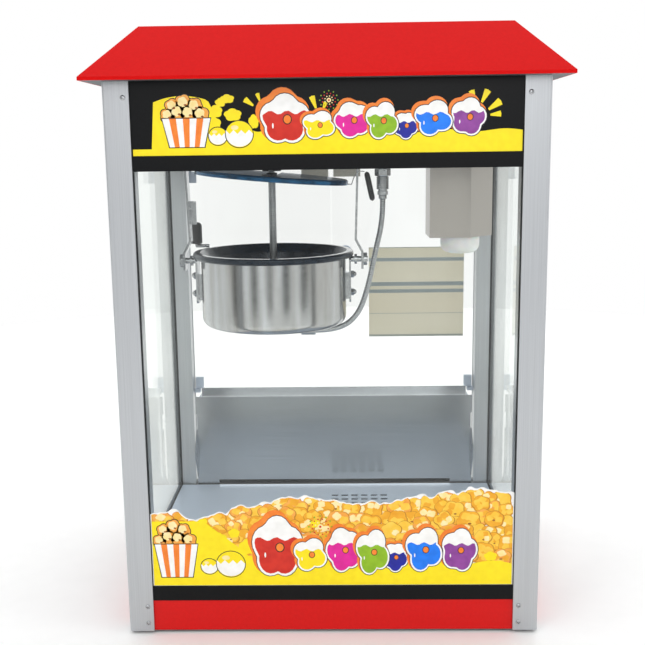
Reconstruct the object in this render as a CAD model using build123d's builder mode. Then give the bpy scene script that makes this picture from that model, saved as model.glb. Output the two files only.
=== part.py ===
from build123d import *
from math import atan, cos, degrees, radians, sin, tan
import os

os.makedirs("parts", exist_ok=True)

# A counter-top popcorn machine: a glazed cabinet of four aluminium posts between a
# red base and a red pitched roof, with a tilting kettle hung under the ceiling.
# Millimetres. X runs to the customer's right, Y runs from the customer's side to the
# operator's side, Z is up, and the origin is under the cabinet's centre.

# ---- Driving dimensions -------------------------------------------------------------

cabinet_width = 516
cabinet_depth = 407
foot_height = 4
base_height = 40.5
lower_trim_height = 19.2
window_height = 518
upper_trim_height = 17.5
sign_height = 85.4

roof_side_overhang = 22
roof_end_overhang = 21.5
roof_height = 64.6
roof_inset = 60.2
roof_lip = 4
roof_wall = 1.5
rim_plate = 2
rim_plate_ledge = 62

post_size = 31
post_wall = 2
post_slot_width = 7
post_slot_depth = 11
post_corner_radius = 2.5

sheet = 1.2
glass = 4
sign_thickness = 2
slide_clearance = 0.2
panel_gap = 0.3
running_clearance = 0.05

foot_radius = 12
foot_inset = 34

kettle_x = -79
pivot_drop = 158.5
rim_above_pivot = 13
pot_radius = 100.5
pot_depth = 93.5
pot_wall = 1.2
pot_corner = 12
rim_overhang = 10.7
rim_thickness = 8.5
mouth_step = 1.5
bowl_taper = 16.5
bowl_wall = 2.5
bowl_depth = 74

lid_overhang = 4.5
lid_flange = 7
lid_sheet = 1.2
lid_raise = 98
lid_tilt = 5
lid_slot = 16

shaft_radius = 5
tongue_thickness = 6
tongue_height = 11
hub_radius = 13
hub_drop = 36.5
spindle_radius = 3
spindle_height = 32

ceiling_rise = 12.8
ceiling_flange = 10

arm_width = 20
arm_thickness = 3
arm_top_gap = 16.5
arm_neck_gap = 12.5
arm_pivot_gap = 21.5
pin_radius = 4

conduit_radius = 4

lamp_drop = 128
lamp_x = 180
dome_radius = 28

door_gap = 3
door_bottom = 222
door_pin_radius = 2.5

flap_side_gap = 3
flap_top = 211
flap_flange = 30
flap_lip = 8
flap_axis_setback = 5
flap_axis_z = 67.5
flap_pin_radius = 2.5

drawer_width = 296
drawer_depth = 180
drawer_height = 34

slot_columns = 6
slot_rows = 8
slot_pitch_x = 15.4
slot_pitch_y = 16.6
slot_length = 12
slot_width = 6.5
slot_block_x = 40
slot_block_y = 58

# ---- Levels and places worked out from them -----------------------------------------

half_width = cabinet_width / 2
half_depth = cabinet_depth / 2
base_bottom = foot_height
base_top = base_bottom + base_height
trim_top = base_top + lower_trim_height
window_top = trim_top + window_height
sign_bottom = window_top + upper_trim_height
eave = sign_bottom + sign_height
roof_top = eave + roof_height
post_top = eave
roof_width = cabinet_width + 2 * roof_side_overhang
roof_depth = cabinet_depth + 2 * roof_end_overhang
rim_plate_z = (eave, eave + rim_plate)

inner_x = half_width - post_size
inner_y = half_depth - post_size
slot_end = post_slot_depth - 1
groove_depth = 8
panel_offset = post_wall + 1.2
channel_offset = post_wall + slide_clearance
channel_thickness = post_slot_width - 2 * slide_clearance
glass_offset = post_wall + (post_slot_width - glass) / 2
deck_top = trim_top + 0.3
deck_bottom = deck_top - sheet

ceiling_height = sign_bottom + ceiling_rise
pivot_height = ceiling_height - pivot_drop
hub_bottom = ceiling_height - hub_drop
lamp_bottom = ceiling_height - lamp_drop
rim_top = pivot_height + rim_above_pivot
rim_bottom = rim_top - rim_thickness
pot_bottom = rim_bottom - pot_depth
bowl_floor = rim_top - bowl_depth
rim_radius = pot_radius + rim_overhang
bowl_mouth_radius = pot_radius + mouth_step
bowl_bottom_radius = pot_radius - bowl_taper
lid_radius = pot_radius + lid_overhang
arm_top_offset = pot_radius + arm_top_gap
arm_neck_offset = pot_radius + arm_neck_gap
arm_pivot_offset = pot_radius + arm_pivot_gap

flap_y = inner_y + 0.5
flap_axis_y = flap_y + flap_axis_setback
flap_half = inner_x - flap_side_gap

lid_sheet_height = rim_top + lid_raise + lid_flange


def block(x, y, z, mode=Mode.ADD):
    """A box between two corners, given as ranges along X, Y and Z."""
    centre = ((x[0] + x[1]) / 2, (y[0] + y[1]) / 2, (z[0] + z[1]) / 2)
    with Locations(centre):
        Box(x[1] - x[0], y[1] - y[0], z[1] - z[0], mode=mode)


def rod(start, radius, length, axis="Z", mode=Mode.ADD):
    """A cylinder from a start point towards +X, +Y or +Z."""
    turn = {"X": (0, 90, 0), "Y": (-90, 0, 0), "Z": (0, 0, 0)}[axis]
    with Locations(Location(start, turn)):
        Cylinder(radius, length, align=(Align.CENTER, Align.CENTER, Align.MIN), mode=mode)


def span(side, near, far):
    """A range from near to far on the positive or the negative side of an axis."""
    return (near, far) if side > 0 else (-far, -near)


# ---- Cabinet: base, deck, posts -----------------------------------------------------

drawer_opening_x = drawer_width / 2 + 1
drawer_floor = base_bottom + 2 * sheet + 2
gland_x = 195
gland_z = 30
gland_radius = 8
ledge_top = base_top + 12.5

with BuildPart() as base_shell:
    block((-half_width + panel_offset, half_width - panel_offset),
          (-inner_y + panel_gap, inner_y - panel_gap), (base_bottom, base_bottom + sheet))
    block((-inner_x + panel_gap, inner_x - panel_gap),
          (-half_depth + panel_offset, half_depth - panel_offset), (base_bottom, base_bottom + sheet))
    for side in (-1, 1):
        block(span(side, half_width - panel_offset - sheet, half_width - panel_offset),
              (-inner_y - slot_end, inner_y + slot_end), (base_bottom, base_top))
    wall_y = half_depth - panel_offset
    block((-inner_x - slot_end, inner_x + slot_end), (-wall_y, -wall_y + sheet), (base_bottom, base_top))
    block((-inner_x - slot_end, inner_x + slot_end), (wall_y - sheet, wall_y), (base_bottom, trim_top - 1.5))
    block((-drawer_opening_x, drawer_opening_x), (wall_y - sheet, wall_y),
          (drawer_floor - 1, drawer_floor + drawer_height + 1), mode=Mode.SUBTRACT)
    rod((gland_x, wall_y - sheet, gland_z), gland_radius, sheet, "Y", Mode.SUBTRACT)
    block((-inner_x + panel_gap, inner_x - panel_gap), (inner_y - 11, wall_y), (ledge_top - sheet, ledge_top))
base_shell.part.label = "base_shell"
export_step(base_shell.part, "parts/base_shell.step")

# Two angles on the base's floor carry the deck, and two low runners carry the drawer.
rail_x = half_width - post_size - 8
rail_reach = inner_y - 12
runner_height = 14
drawer_half = drawer_width / 2
with BuildPart() as base_rails:
    floor = base_bottom + sheet
    for side in (-1, 1):
        block(span(side, rail_x - sheet, rail_x), (-rail_reach, rail_reach), (floor, deck_bottom))
        for foot in (floor, deck_bottom - sheet):
            block(span(side, rail_x - 14, rail_x), (-rail_reach, rail_reach), (foot, foot + sheet))
        block(span(side, drawer_half - 12, drawer_half + 2), (0, wall_y - sheet),
              (floor, drawer_floor - panel_gap))
        block(span(side, drawer_half + 0.5, drawer_half + 2), (0, wall_y - sheet),
              (floor, drawer_floor + runner_height))
base_rails.part.label = "base_rails"
export_step(base_rails.part, "parts/base_rails.step")

deck_x = half_width - channel_offset - channel_thickness - 0.4
deck_front = half_depth - channel_offset - channel_thickness - 0.4
deck_rear = inner_y - 4.5
with BuildPart() as deck_plate:
    block((-deck_x, deck_x), (-inner_y + panel_gap, deck_rear), (deck_bottom, deck_top))
    block((-inner_x + panel_gap, inner_x - panel_gap), (-deck_front, 0), (deck_bottom, deck_top))
    with BuildSketch(Plane.XY.offset(deck_bottom)):
        with Locations((slot_block_x, slot_block_y)):
            with GridLocations(slot_pitch_x, slot_pitch_y, slot_columns, slot_rows):
                SlotOverall(slot_length, slot_width)
    extrude(amount=sheet, mode=Mode.SUBTRACT)
deck_plate.part.label = "deck_plate"
export_step(deck_plate.part, "parts/deck_plate.step")

with BuildPart() as rubber_feet:
    for side_x in (-1, 1):
        for side_y in (-1, 1):
            place = (side_x * (half_width - foot_inset), side_y * (half_depth - foot_inset), 0)
            rod(place, foot_radius, foot_height)
rubber_feet.part.label = "rubber_feet"
export_step(rubber_feet.part, "parts/rubber_feet.step")

screw_radius = 1.6
screw_hole = screw_radius + running_clearance
screw_inset = post_size - 7
screw_heights = (14.8, 37, eave - 18.5)
hinge_bore_depth = 5


def post_section(side_x, side_y):
    """The section of one extruded post, with its slots towards the cabinet's middle."""
    def cut(x, y):
        with Locations((side_x * (half_width - (x[0] + x[1]) / 2),
                        side_y * (half_depth - (y[0] + y[1]) / 2))):
            Rectangle(x[1] - x[0], y[1] - y[0], mode=Mode.SUBTRACT)

    with Locations((side_x * (half_width - post_size / 2), side_y * (half_depth - post_size / 2))):
        outline = Rectangle(post_size, post_size)
    corner = outline.vertices().sort_by_distance((side_x * half_width, side_y * half_depth))[0]
    fillet(corner, post_corner_radius)
    slot_start = post_size - post_slot_depth
    slot_far = post_wall + post_slot_width
    cut((slot_start, post_size), (post_wall, slot_far))
    cut((post_wall, slot_far), (slot_start, post_size))
    cut((post_wall, slot_start - post_wall), (post_wall, slot_start - post_wall))
    cut((slot_start, post_size - post_wall), (slot_start, post_size - post_wall))


for name, side_x, side_y in (("post_front_left", -1, -1), ("post_front_right", 1, -1),
                             ("post_rear_left", -1, 1), ("post_rear_right", 1, 1)):
    with BuildPart() as post:
        with BuildSketch(Plane.XY.offset(base_bottom)):
            post_section(side_x, side_y)
        extrude(amount=post_top - base_bottom)
        face_y = -half_depth if side_y < 0 else half_depth - post_wall
        for height in screw_heights:
            rod((side_x * (half_width - screw_inset), face_y, height), screw_hole, post_wall, "Y",
                Mode.SUBTRACT)
        if side_y > 0:
            bore_x = inner_x if side_x > 0 else -inner_x - hinge_bore_depth
            rod((bore_x, flap_axis_y, flap_axis_z), flap_pin_radius + running_clearance,
                hinge_bore_depth, "X", Mode.SUBTRACT)
    post.part.label = name
    export_step(post.part, f"parts/{name}.step")

# Pan-head screws through the posts' outer lips into the panels behind them.
with BuildPart() as post_screws:
    for side_x in (-1, 1):
        x = side_x * (half_width - screw_inset)
        for height in screw_heights:
            rod((x, -half_depth - 1.6, height), 3, 1.6, "Y")
            rod((x, -half_depth, height), screw_radius, panel_offset, "Y")
            rod((x, half_depth, height), 3, 1.6, "Y")
            rod((x, half_depth - panel_offset, height), screw_radius, panel_offset, "Y")
post_screws.part.label = "post_screws"
export_step(post_screws.part, "parts/post_screws.step")

# ---- Glazing -------------------------------------------------------------------------


def frame_strip(offset, thickness, z, end):
    """Three strips behind the front, left and right posts, at one depth and height."""
    block((-inner_x - end, inner_x + end), (-half_depth + offset, -half_depth + offset + thickness), z)
    for side in (-1, 1):
        block(span(side, half_width - offset - thickness, half_width - offset),
              (-inner_y - end, inner_y + end), z)


def frame_groove(z):
    """The glass groove in each of the three strips."""
    reach = post_slot_depth
    depth = half_depth - glass_offset - glass / 2
    wide = glass + 2 * slide_clearance
    block((-inner_x - reach, inner_x + reach), (-depth - wide / 2, -depth + wide / 2), z, Mode.SUBTRACT)
    side_depth = half_width - glass_offset - glass / 2
    for side in (-1, 1):
        block(span(side, side_depth - wide / 2, side_depth + wide / 2),
              (-inner_y - reach, inner_y + reach), z, Mode.SUBTRACT)


with BuildPart() as glass_channels:
    frame_strip(channel_offset, channel_thickness, (base_top, trim_top), slot_end)
    frame_strip(channel_offset, channel_thickness, (window_top, sign_bottom), slot_end)
    frame_groove((trim_top - groove_depth, trim_top))
    frame_groove((window_top, window_top + groove_depth))
glass_channels.part.label = "glass_channels"
export_step(glass_channels.part, "parts/glass_channels.step")

glass_z = (trim_top - groove_depth, window_top + groove_depth - 1)
glass_end = slot_end - 1
with BuildPart() as front_glass:
    block((-inner_x - glass_end, inner_x + glass_end),
          (-half_depth + glass_offset, -half_depth + glass_offset + glass), glass_z)
front_glass.part.label = "front_glass"
export_step(front_glass.part, "parts/front_glass.step")

with BuildPart() as side_glasses:
    for side in (-1, 1):
        block(span(side, half_width - glass_offset - glass, half_width - glass_offset),
              (-inner_y - glass_end, inner_y + glass_end), glass_z)
side_glasses.part.label = "side_glasses"
export_step(side_glasses.part, "parts/side_glasses.step")

# Rubber channels grip the upright edges of the glass inside the posts' slots.
gasket_lip = 0.8
with BuildPart() as glass_gaskets:
    gasket_z = (trim_top + slide_clearance, window_top - slide_clearance)
    strip_y = (-half_depth + channel_offset, -half_depth + channel_offset + channel_thickness)
    for side_x in (-1, 1):
        block(span(side_x, inner_x - gasket_lip, inner_x + slot_end), strip_y, gasket_z)
        for side_y in (-1, 1):
            block(span(side_x, half_width - channel_offset - channel_thickness, half_width - channel_offset),
                  span(side_y, inner_y - gasket_lip, inner_y + slot_end), gasket_z)
    frame_groove_y = -half_depth + glass_offset + glass / 2
    block((-inner_x - glass_end, inner_x + glass_end),
          (frame_groove_y - glass / 2, frame_groove_y + glass / 2), gasket_z, Mode.SUBTRACT)
    for side_x in (-1, 1):
        block(span(side_x, half_width - glass_offset - glass, half_width - glass_offset),
              (-inner_y - glass_end, inner_y + glass_end), gasket_z, Mode.SUBTRACT)
glass_gaskets.part.label = "glass_gaskets"
export_step(glass_gaskets.part, "parts/glass_gaskets.step")

# ---- Signs, rear panel, ceiling and roof ---------------------------------------------

sign_z = (sign_bottom, post_top)
with BuildPart() as front_sign:
    block((-inner_x - slot_end, inner_x + slot_end),
          (-half_depth + panel_offset, -half_depth + panel_offset + sign_thickness), sign_z)
front_sign.part.label = "front_sign"
export_step(front_sign.part, "parts/front_sign.step")

with BuildPart() as side_signs:
    for side in (-1, 1):
        block(span(side, half_width - panel_offset - sign_thickness, half_width - panel_offset),
              (-inner_y - slot_end, inner_y + slot_end), sign_z)
side_signs.part.label = "side_signs"
export_step(side_signs.part, "parts/side_signs.step")

switch_names = ("motor", "heat", "light")
switch_pitch = 62
switch_z = ceiling_height + 28
switch_width = 21
switch_height = 29
switch_depth = 24
switch_rim = 2.5
rear_face = half_depth - panel_offset

with BuildPart() as rear_control_panel:
    block((-inner_x - slot_end, inner_x + slot_end), (rear_face - sheet, rear_face), (window_top, post_top))
    for index in range(len(switch_names)):
        x = (index - 1) * switch_pitch
        block((x - switch_width / 2, x + switch_width / 2), (rear_face - sheet, rear_face),
              (switch_z - switch_height / 2, switch_z + switch_height / 2), Mode.SUBTRACT)
rear_control_panel.part.label = "rear_control_panel"
export_step(rear_control_panel.part, "parts/rear_control_panel.step")

# Each switch is a snap-in housing, with a rocker that turns on a cross pin in it.
rocker_width = switch_width - 7
rocker_height = switch_height - 7
rocker_axis_y = rear_face - 3
rocker_pin = 1.2
rocker_room = 1.6
with BuildPart() as switch_housings:
    for index in range(len(switch_names)):
        x = (index - 1) * switch_pitch
        wide = switch_width / 2
        tall = switch_height / 2
        block((x - wide - switch_rim, x + wide + switch_rim), (rear_face, rear_face + 1.5),
              (switch_z - tall - switch_rim, switch_z + tall + switch_rim))
        body = slide_clearance
        block((x - wide + body, x + wide - body), (rear_face - switch_depth, rear_face),
              (switch_z - tall + body, switch_z + tall - body))
        block((x - rocker_width / 2 - 0.4, x + rocker_width / 2 + 0.4), (rear_face - 12, rear_face + 1.5),
              (switch_z - rocker_height / 2 - rocker_room, switch_z + rocker_height / 2 + rocker_room),
              Mode.SUBTRACT)
        rod((x - rocker_width / 2 - 2, rocker_axis_y, switch_z), rocker_pin + running_clearance,
            rocker_width + 4, "X", Mode.SUBTRACT)
switch_housings.part.label = "switch_housings"
export_step(switch_housings.part, "parts/switch_housings.step")

for index, switch in enumerate(switch_names):
    x = (index - 1) * switch_pitch
    with BuildPart() as rocker:
        with BuildSketch(Plane.YZ.offset(x - rocker_width / 2)):
            with BuildLine():
                top = (rear_face + 1.5, switch_z + rocker_height / 2)
                middle = (rear_face + 2.2, switch_z)
                low = (rear_face + 3.2, switch_z - rocker_height / 2)
                Polyline((rocker_axis_y - 4, switch_z - 5), (rocker_axis_y - 4, switch_z + 5), top,
                         middle, low, close=True)
            make_face()
        extrude(amount=rocker_width)
        rod((x - rocker_width / 2 - 1.8, rocker_axis_y, switch_z), rocker_pin, rocker_width + 3.6, "X")
    rocker.part.label = f"{switch}_rocker"
    export_step(rocker.part, f"parts/{switch}_rocker.step")

# ---- Ceiling, with the holes for what passes through it ------------------------------

hub_hole = hub_radius - 4
connector_x = 73
connector_radius = 7
ceiling_x = half_width - post_slot_width - panel_offset
ceiling_y = half_depth - post_slot_width - panel_offset

with BuildPart() as ceiling_plate:
    z = (ceiling_height, ceiling_height + sheet)
    block((-ceiling_x, ceiling_x), (-inner_y + panel_gap, inner_y - panel_gap), z)
    block((-inner_x + panel_gap, inner_x - panel_gap), (-ceiling_y, ceiling_y), z)
    flange_z = (ceiling_height, ceiling_height + ceiling_flange)
    for side in (-1, 1):
        block(span(side, ceiling_x - sheet, ceiling_x), (-inner_y + panel_gap, inner_y - panel_gap), flange_z)
        block((-inner_x + panel_gap, inner_x - panel_gap), span(side, ceiling_y - sheet, ceiling_y), flange_z)
    rod((kettle_x, 0, ceiling_height), hub_hole, sheet, "Z", Mode.SUBTRACT)
    rod((connector_x, 0, ceiling_height), connector_radius, sheet, "Z", Mode.SUBTRACT)
ceiling_plate.part.label = "ceiling_plate"
export_step(ceiling_plate.part, "parts/ceiling_plate.step")

rim_half_x = roof_width / 2 - roof_wall - panel_gap
rim_half_y = roof_depth / 2 - roof_wall - panel_gap
with BuildPart() as roof_rim_plate:
    block((-rim_half_x, rim_half_x), (-rim_half_y, rim_half_y), rim_plate_z)
    block((-rim_half_x + rim_plate_ledge, rim_half_x - rim_plate_ledge),
          (-rim_half_y + rim_plate_ledge, rim_half_y - rim_plate_ledge), rim_plate_z, Mode.SUBTRACT)
roof_rim_plate.part.label = "roof_rim_plate"
export_step(roof_rim_plate.part, "parts/roof_rim_plate.step")

roof_slope = degrees(atan(roof_inset / (roof_height - roof_lip)))
with BuildPart() as roof_cover:
    with BuildSketch(Plane.XY.offset(eave)):
        Rectangle(roof_width, roof_depth)
    extrude(amount=roof_lip)
    with BuildSketch(Plane.XY.offset(eave + roof_lip)):
        Rectangle(roof_width, roof_depth)
    extrude(amount=roof_height - roof_lip, taper=roof_slope)
    offset(amount=-roof_wall, openings=roof_cover.faces().sort_by(Axis.Z)[0])
roof_cover.part.label = "roof_cover"
export_step(roof_cover.part, "parts/roof_cover.step")

# ---- Drive above the ceiling ---------------------------------------------------------

gearbox_size = 62
gearbox_height = 34
standoff = 8
gearbox_bottom = ceiling_height + sheet + standoff
motor_radius = 27
motor_length = 46
hub_neck = 5.5
bridge_half = 45
bridge_reach = 28
bridge_sheet = 2

with BuildPart() as motor_bracket:
    z = ceiling_height + sheet
    block((kettle_x - bridge_half, kettle_x + bridge_half), (-bridge_reach, bridge_reach),
          (gearbox_bottom - bridge_sheet, gearbox_bottom))
    for leg in (kettle_x - bridge_half, kettle_x + bridge_half - bridge_sheet):
        block((leg, leg + bridge_sheet), (-bridge_reach, bridge_reach), (z, gearbox_bottom))
    rod((kettle_x, 0, gearbox_bottom - bridge_sheet), hub_hole, bridge_sheet, "Z", Mode.SUBTRACT)
motor_bracket.part.label = "motor_bracket"
export_step(motor_bracket.part, "parts/motor_bracket.step")

with BuildPart() as gearbox:
    block((kettle_x - gearbox_size / 2, kettle_x + gearbox_size / 2), (-gearbox_size / 2, gearbox_size / 2),
          (gearbox_bottom, gearbox_bottom + gearbox_height))
    fillet(gearbox.edges().filter_by(Axis.Z), 8)
    rod((kettle_x, 0, gearbox_bottom), hub_neck + running_clearance, gearbox_height - 6, "Z", Mode.SUBTRACT)
gearbox.part.label = "gearbox"
export_step(gearbox.part, "parts/gearbox.step")

with BuildPart() as stirrer_motor:
    rod((kettle_x, 0, gearbox_bottom + gearbox_height), motor_radius, motor_length)
    fillet(stirrer_motor.edges().sort_by(Axis.Z)[-1], 4)
stirrer_motor.part.label = "stirrer_motor"
export_step(stirrer_motor.part, "parts/stirrer_motor.step")

# The hub's slot lets the shaft's tongue swing out towards the operator.
hub_slot = tongue_height + 1
hub_body = ceiling_height - 3
with BuildPart() as drive_hub:
    rod((kettle_x, 0, hub_bottom), hub_radius, hub_body - hub_bottom)
    rod((kettle_x, 0, hub_body), hub_neck, gearbox_bottom + gearbox_height - 8 - hub_body)
    slot_half = tongue_thickness / 2 + slide_clearance
    block((kettle_x - slot_half, kettle_x + slot_half), (-hub_radius, hub_radius),
          (hub_bottom, hub_bottom + hub_slot), Mode.SUBTRACT)
drive_hub.part.label = "drive_hub"
export_step(drive_hub.part, "parts/drive_hub.step")

# ---- Kettle ---------------------------------------------------------------------------

kettle_section = Plane(origin=(kettle_x, 0, 0), x_dir=(1, 0, 0), z_dir=(0, -1, 0))
kettle_axis = Axis((kettle_x, 0, 0), (0, 0, 1))

with BuildPart() as kettle_pot:
    with BuildSketch(kettle_section):
        with BuildLine():
            Line((0, pot_bottom), (pot_radius - pot_corner, pot_bottom))
            TangentArc((pot_radius - pot_corner, pot_bottom), (pot_radius, pot_bottom + pot_corner),
                       tangent=(1, 0))
            Polyline((pot_radius, pot_bottom + pot_corner), (pot_radius, rim_bottom),
                     (pot_radius - pot_wall, rim_bottom), (pot_radius - pot_wall, pot_bottom + pot_corner))
            TangentArc((pot_radius - pot_wall, pot_bottom + pot_corner),
                       (pot_radius - pot_corner, pot_bottom + pot_wall), tangent=(0, -1))
            Polyline((pot_radius - pot_corner, pot_bottom + pot_wall), (0, pot_bottom + pot_wall),
                     (0, pot_bottom))
        make_face()
    revolve(axis=kettle_axis)
kettle_pot.part.label = "kettle_pot"
export_step(kettle_pot.part, "parts/kettle_pot.step")

# The bowl hangs in the pot by its thick rounded rim. A stud in its middle carries the shaft.
bowl_corner = 16
bowl_outer_floor = bowl_floor - bowl_wall
bowl_neck_radius = pot_radius - pot_wall - 1
with BuildPart() as kettle_bowl:
    with BuildSketch(kettle_section):
        with BuildLine():
            Polyline((0, bowl_outer_floor), (bowl_bottom_radius, bowl_outer_floor),
                     (bowl_neck_radius, rim_bottom), (rim_radius, rim_bottom),
                     (rim_radius, rim_top), (bowl_mouth_radius, rim_top),
                     (bowl_neck_radius - bowl_wall, rim_bottom - 4),
                     (bowl_bottom_radius - bowl_wall, bowl_floor), (0, bowl_floor), close=True)
        make_face()
    revolve(axis=kettle_axis)
    inner_floor_edge = kettle_bowl.edges().filter_by(GeomType.CIRCLE).sort_by(
        lambda edge: abs(edge.radius - (bowl_bottom_radius - bowl_wall)) + abs(edge.center().Z - bowl_floor))[0]
    fillet(inner_floor_edge, bowl_corner)
    rim_edges = kettle_bowl.edges().filter_by(GeomType.CIRCLE).filter_by(
        lambda edge: abs(edge.radius - rim_radius) < 0.01)
    fillet(rim_edges, rim_thickness * 0.4)
    rod((kettle_x, 0, bowl_floor), spindle_radius, spindle_height)
kettle_bowl.part.label = "kettle_bowl"
export_step(kettle_bowl.part, "parts/kettle_bowl.step")

# The ring heater is clamped under the bowl.
heater_outer = bowl_bottom_radius - 14
heater_inner = 34
heater_height = 9
with BuildPart() as kettle_heater:
    rod((kettle_x, 0, bowl_outer_floor - heater_height), heater_outer, heater_height)
    rod((kettle_x, 0, bowl_outer_floor - heater_height), heater_inner, heater_height, "Z", Mode.SUBTRACT)
kettle_heater.part.label = "kettle_heater"
export_step(kettle_heater.part, "parts/kettle_heater.step")

# Side brackets stand off the pot and are held by two dome nuts each. Their welded pins run in
# bushes that sit in the hanger arms.
bracket_inner = pot_radius + 4.5
bracket_thickness = 2.5
bracket_outer = bracket_inner + bracket_thickness
bracket_width = 30
bracket_bottom = pot_bottom + 30
bracket_top = rim_bottom - 0.3
nut_heights = (bracket_bottom + 13, bracket_bottom + 38)
nut_radius = 5.5
nut_height = 4
nut_dome = 3.8
saddle_width = 16

bush_radius = 9
bush_outer = arm_pivot_offset + arm_thickness + 5
pin_end = bush_outer + 1
collar_offset = rim_radius + 1.3
collar = 3.5

with BuildPart() as kettle_brackets:
    for side in (-1, 1):
        near = kettle_x + side * bracket_inner
        far = kettle_x + side * bracket_outer
        plate_x = (min(near, far), max(near, far))
        saddle_x = (kettle_x + side * (pot_radius - 8), near)
        block((min(saddle_x), max(saddle_x)), (-saddle_width / 2, saddle_width / 2),
              (bracket_bottom + 4, bracket_top - 22))
        block(plate_x, (-bracket_width / 2, bracket_width / 2), (bracket_bottom, bracket_top))
    corners = kettle_brackets.edges().filter_by(Axis.X).filter_by(
        lambda edge: abs(abs(edge.center().Y) - bracket_width / 2) < 0.1)
    fillet(corners, 6)
    rod((kettle_x, 0, bracket_bottom - 1), pot_radius + 0.05, bracket_top - bracket_bottom + 2, "Z",
        Mode.SUBTRACT)
    for side in (-1, 1):
        start = kettle_x + bracket_outer if side > 0 else kettle_x - pin_end
        rod((start, 0, pivot_height), pin_radius, pin_end - bracket_outer, "X")
        collar_start = kettle_x + (collar_offset if side > 0 else -collar_offset - collar)
        rod((collar_start, 0, pivot_height), pin_radius + 3, collar, "X")
kettle_brackets.part.label = "kettle_brackets"
export_step(kettle_brackets.part, "parts/kettle_brackets.step")

with BuildPart() as dome_nuts:
    for side in (-1, 1):
        for height in nut_heights:
            start = kettle_x + bracket_outer if side > 0 else kettle_x - bracket_outer - nut_height
            face = Plane.YZ.offset(start)
            with BuildSketch(face):
                with Locations((0, height)):
                    RegularPolygon(nut_radius, 6)
            extrude(amount=nut_height)
            centre = kettle_x + side * (bracket_outer + nut_height)
            with Locations((centre, 0, height)):
                Sphere(nut_dome)
dome_nuts.part.label = "dome_nuts"
export_step(dome_nuts.part, "parts/dome_nuts.step")

# The rear grip stands on a bent rod that lies on the rim's left end.
grip_y = 50
grip_x = kettle_x - rim_radius - 2.8
grip_radius = 8
grip_height = 31
rod_radius = 2.5
rod_z = rim_top + rod_radius
with BuildPart() as tilt_rod:
    rod((grip_x, grip_y, rod_z), rod_radius, kettle_x - pot_radius + 4.5 - grip_x, "X")
    rod((grip_x, grip_y, rod_z), rod_radius, grip_height - 4)
    with Locations((grip_x, grip_y, rod_z)):
        Sphere(rod_radius)
tilt_rod.part.label = "tilt_rod"
export_step(tilt_rod.part, "parts/tilt_rod.step")

grip_bottom = rod_z + rod_radius + 0.5
with BuildPart() as tilt_grip:
    rod((grip_x, grip_y, grip_bottom), grip_radius, grip_height)
    fillet(tilt_grip.edges().sort_by(Axis.Z)[-1], 6)
    fillet(tilt_grip.edges().sort_by(Axis.Z)[0], 2)
    rod((grip_x, grip_y, grip_bottom), rod_radius, rod_z + grip_height - 4 - grip_bottom, "Z", Mode.SUBTRACT)
tilt_grip.part.label = "tilt_grip"
export_step(tilt_grip.part, "parts/tilt_grip.step")

# ---- Stirrer --------------------------------------------------------------------------

shaft_bottom = bowl_floor + 3
shaft_shoulder = hub_bottom - 1
with BuildPart() as stirrer_shaft:
    rod((kettle_x, 0, shaft_bottom), shaft_radius, shaft_shoulder - shaft_bottom)
    block((kettle_x - tongue_thickness / 2, kettle_x + tongue_thickness / 2), (-shaft_radius, shaft_radius),
          (shaft_shoulder, hub_bottom + tongue_height))
    rod((kettle_x, 0, shaft_bottom), spindle_radius + running_clearance, spindle_height - 2, "Z",
        Mode.SUBTRACT)
stirrer_shaft.part.label = "stirrer_shaft"
export_step(stirrer_shaft.part, "parts/stirrer_shaft.step")

# Two paddles reach from a sleeve on the shaft to the foot of the bowl's wall.
blade_reach = bowl_bottom_radius - bowl_corner - 6
with BuildPart() as stirrer_blades:
    rod((kettle_x, 0, shaft_bottom), shaft_radius + 4, 14)
    block((kettle_x - blade_reach, kettle_x + blade_reach), (-1.5, 1.5), (shaft_bottom, shaft_bottom + 9))
    rod((kettle_x, 0, shaft_bottom), shaft_radius, 14, "Z", Mode.SUBTRACT)
stirrer_blades.part.label = "stirrer_blades"
export_step(stirrer_blades.part, "parts/stirrer_blades.step")

# ---- Lid ------------------------------------------------------------------------------

# The lid hangs a little askew when it is raised. Its frame is tilted about the shaft.
lid_frame = Plane(origin=(kettle_x, 0, lid_sheet_height), x_dir=(cos(radians(lid_tilt)), 0, -sin(radians(lid_tilt))),
                  z_dir=(sin(radians(lid_tilt)), 0, cos(radians(lid_tilt))))
lid_hole = lid_slot / 2

with BuildPart() as kettle_lid:
    with BuildSketch(lid_frame.offset(-lid_flange)):
        Circle(lid_radius)
    extrude(amount=lid_flange)
    fillet(kettle_lid.edges().sort_by(Axis.Z)[-1], 2.5)
    with BuildSketch(lid_frame.offset(-lid_flange)):
        Circle(lid_radius - lid_sheet)
    extrude(amount=lid_flange - lid_sheet, mode=Mode.SUBTRACT)
    with BuildSketch(lid_frame.offset(-lid_flange - 1)):
        Circle(lid_hole)
        with Locations((0, lid_radius / 2 + 3)):
            Rectangle(lid_slot, lid_radius + 6)
    extrude(amount=lid_flange + 2, mode=Mode.SUBTRACT)
kettle_lid.part.label = "kettle_lid"
export_step(kettle_lid.part, "parts/kettle_lid.step")

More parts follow.
